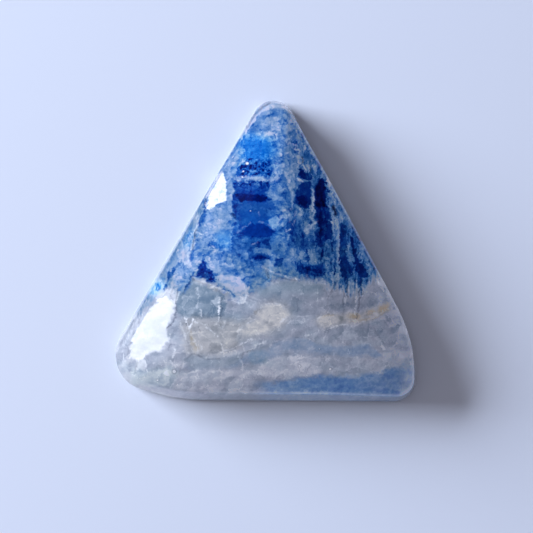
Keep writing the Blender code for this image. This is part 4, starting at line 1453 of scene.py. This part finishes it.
# The paper that the stone lies on
paper = {
    "size": 900,
    "colour": (0.80, 0.82, 0.86),
    "roughness": 0.9,
    "specularLevel": 0.1,
    # how far under the stone's back it lies
    "gap": 0.02,
}
floorMesh = bpy.data.meshes.new("paper")
half = paper["size"] / 2 * mm
sheetCorners = [(-half, -half, 0), (half, -half, 0), (half, half, 0), (-half, half, 0)]
floorMesh.from_pydata(sheetCorners, [], [(0, 1, 2, 3)])
floor = bpy.data.objects.new("paper", floorMesh)
bpy.context.scene.collection.objects.link(floor)
floor.location.z = -paper["gap"] * mm
paperMaterial = bpy.data.materials.new("paper")
paperMaterial.use_nodes = True
paperShader = paperMaterial.node_tree.nodes["Principled BSDF"]
paperShader.inputs["Base Color"].default_value = (*paper["colour"], 1)
paperShader.inputs["Roughness"].default_value = paper["roughness"]
paperShader.inputs["Specular IOR Level"].default_value = paper["specularLevel"]
floorMesh.materials.append(paperMaterial)

# Low window light from the upper left, the room's fill, and the panes that the polish mirrors
light = {
    "fill": (0.200, 0.203, 0.256),
    "window": {
        "around": math.radians(157),
        "distance": 600,
        "width": 420,
        "low": 60,
        "high": 250,
        "power": 13.9,
        "colour": (0.695, 0.786, 1.0),
    },
    "pane": {
        "around": math.radians(168),
        "distance": 400,
        "width": 660,
        "low": 10,
        "high": 800,
        "power": 15.5,
        "colour": (0.93, 0.96, 1.0),
    },
}


# An upright lamp between two heights, turned to the stone
def addWindow(name):
    w = light[name]
    lamp = bpy.data.lights.new(name, "AREA")
    lamp.shape = "RECTANGLE"
    lamp.size = w["width"] * mm
    lamp.size_y = (w["high"] - w["low"]) * mm
    lamp.color = w["colour"]
    lamp.energy = w["power"]
    lampObject = bpy.data.objects.new(name, lamp)
    bpy.context.scene.collection.objects.link(lampObject)
    away = Vector((math.cos(w["around"]), math.sin(w["around"]), 0))
    lampObject.location = (away * w["distance"] + Vector((0, 0, (w["low"] + w["high"]) / 2))) * mm
    across = Vector((0, 0, 1)).cross(away)
    lampObject.rotation_euler = Matrix((across, Vector((0, 0, 1)), away)).transposed().to_euler()
    return lampObject


# the window lights the stone and is not mirrored in it, and the pane is only mirrored
addWindow("window").visible_glossy = False
addWindow("pane").visible_diffuse = False

world = bpy.data.worlds.new("room")
world.use_nodes = True
world.node_tree.nodes["Background"].inputs["Color"].default_value = (*light["fill"], 1)
bpy.context.scene.world = world
world.cycles_visibility.glossy = False
bpy.context.scene.view_settings.view_transform = "Standard"

# Camera almost overhead, leaning a little to the left and towards the long edge
view = {
    "distance": 150,
    "target": (0.0, -1.58, 0.0),
    "leanLeft": math.radians(3.7),
    "leanDown": math.radians(2.75),
    "frameWidth": 53.46,
    "sensor": 36,
    "clipStart": 10,
}
camera = bpy.data.cameras.new("camera")
camera.sensor_width = view["sensor"]
camera.lens = view["sensor"] * view["distance"] / view["frameWidth"]
camera.clip_start = view["clipStart"] * mm
cameraObject = bpy.data.objects.new("camera", camera)
bpy.context.scene.collection.objects.link(cameraObject)
towardsCamera = Vector((-math.sin(view["leanLeft"]), -math.sin(view["leanDown"]), 1)).normalized()
cameraRight = Vector((0, 1, 0)).cross(towardsCamera).normalized()
cameraUp = towardsCamera.cross(cameraRight)
cameraObject.location = (Vector(view["target"]) + towardsCamera * view["distance"]) * mm
cameraObject.rotation_euler = Matrix((cameraRight, cameraUp, towardsCamera)).transposed().to_euler()
bpy.context.scene.camera = cameraObject
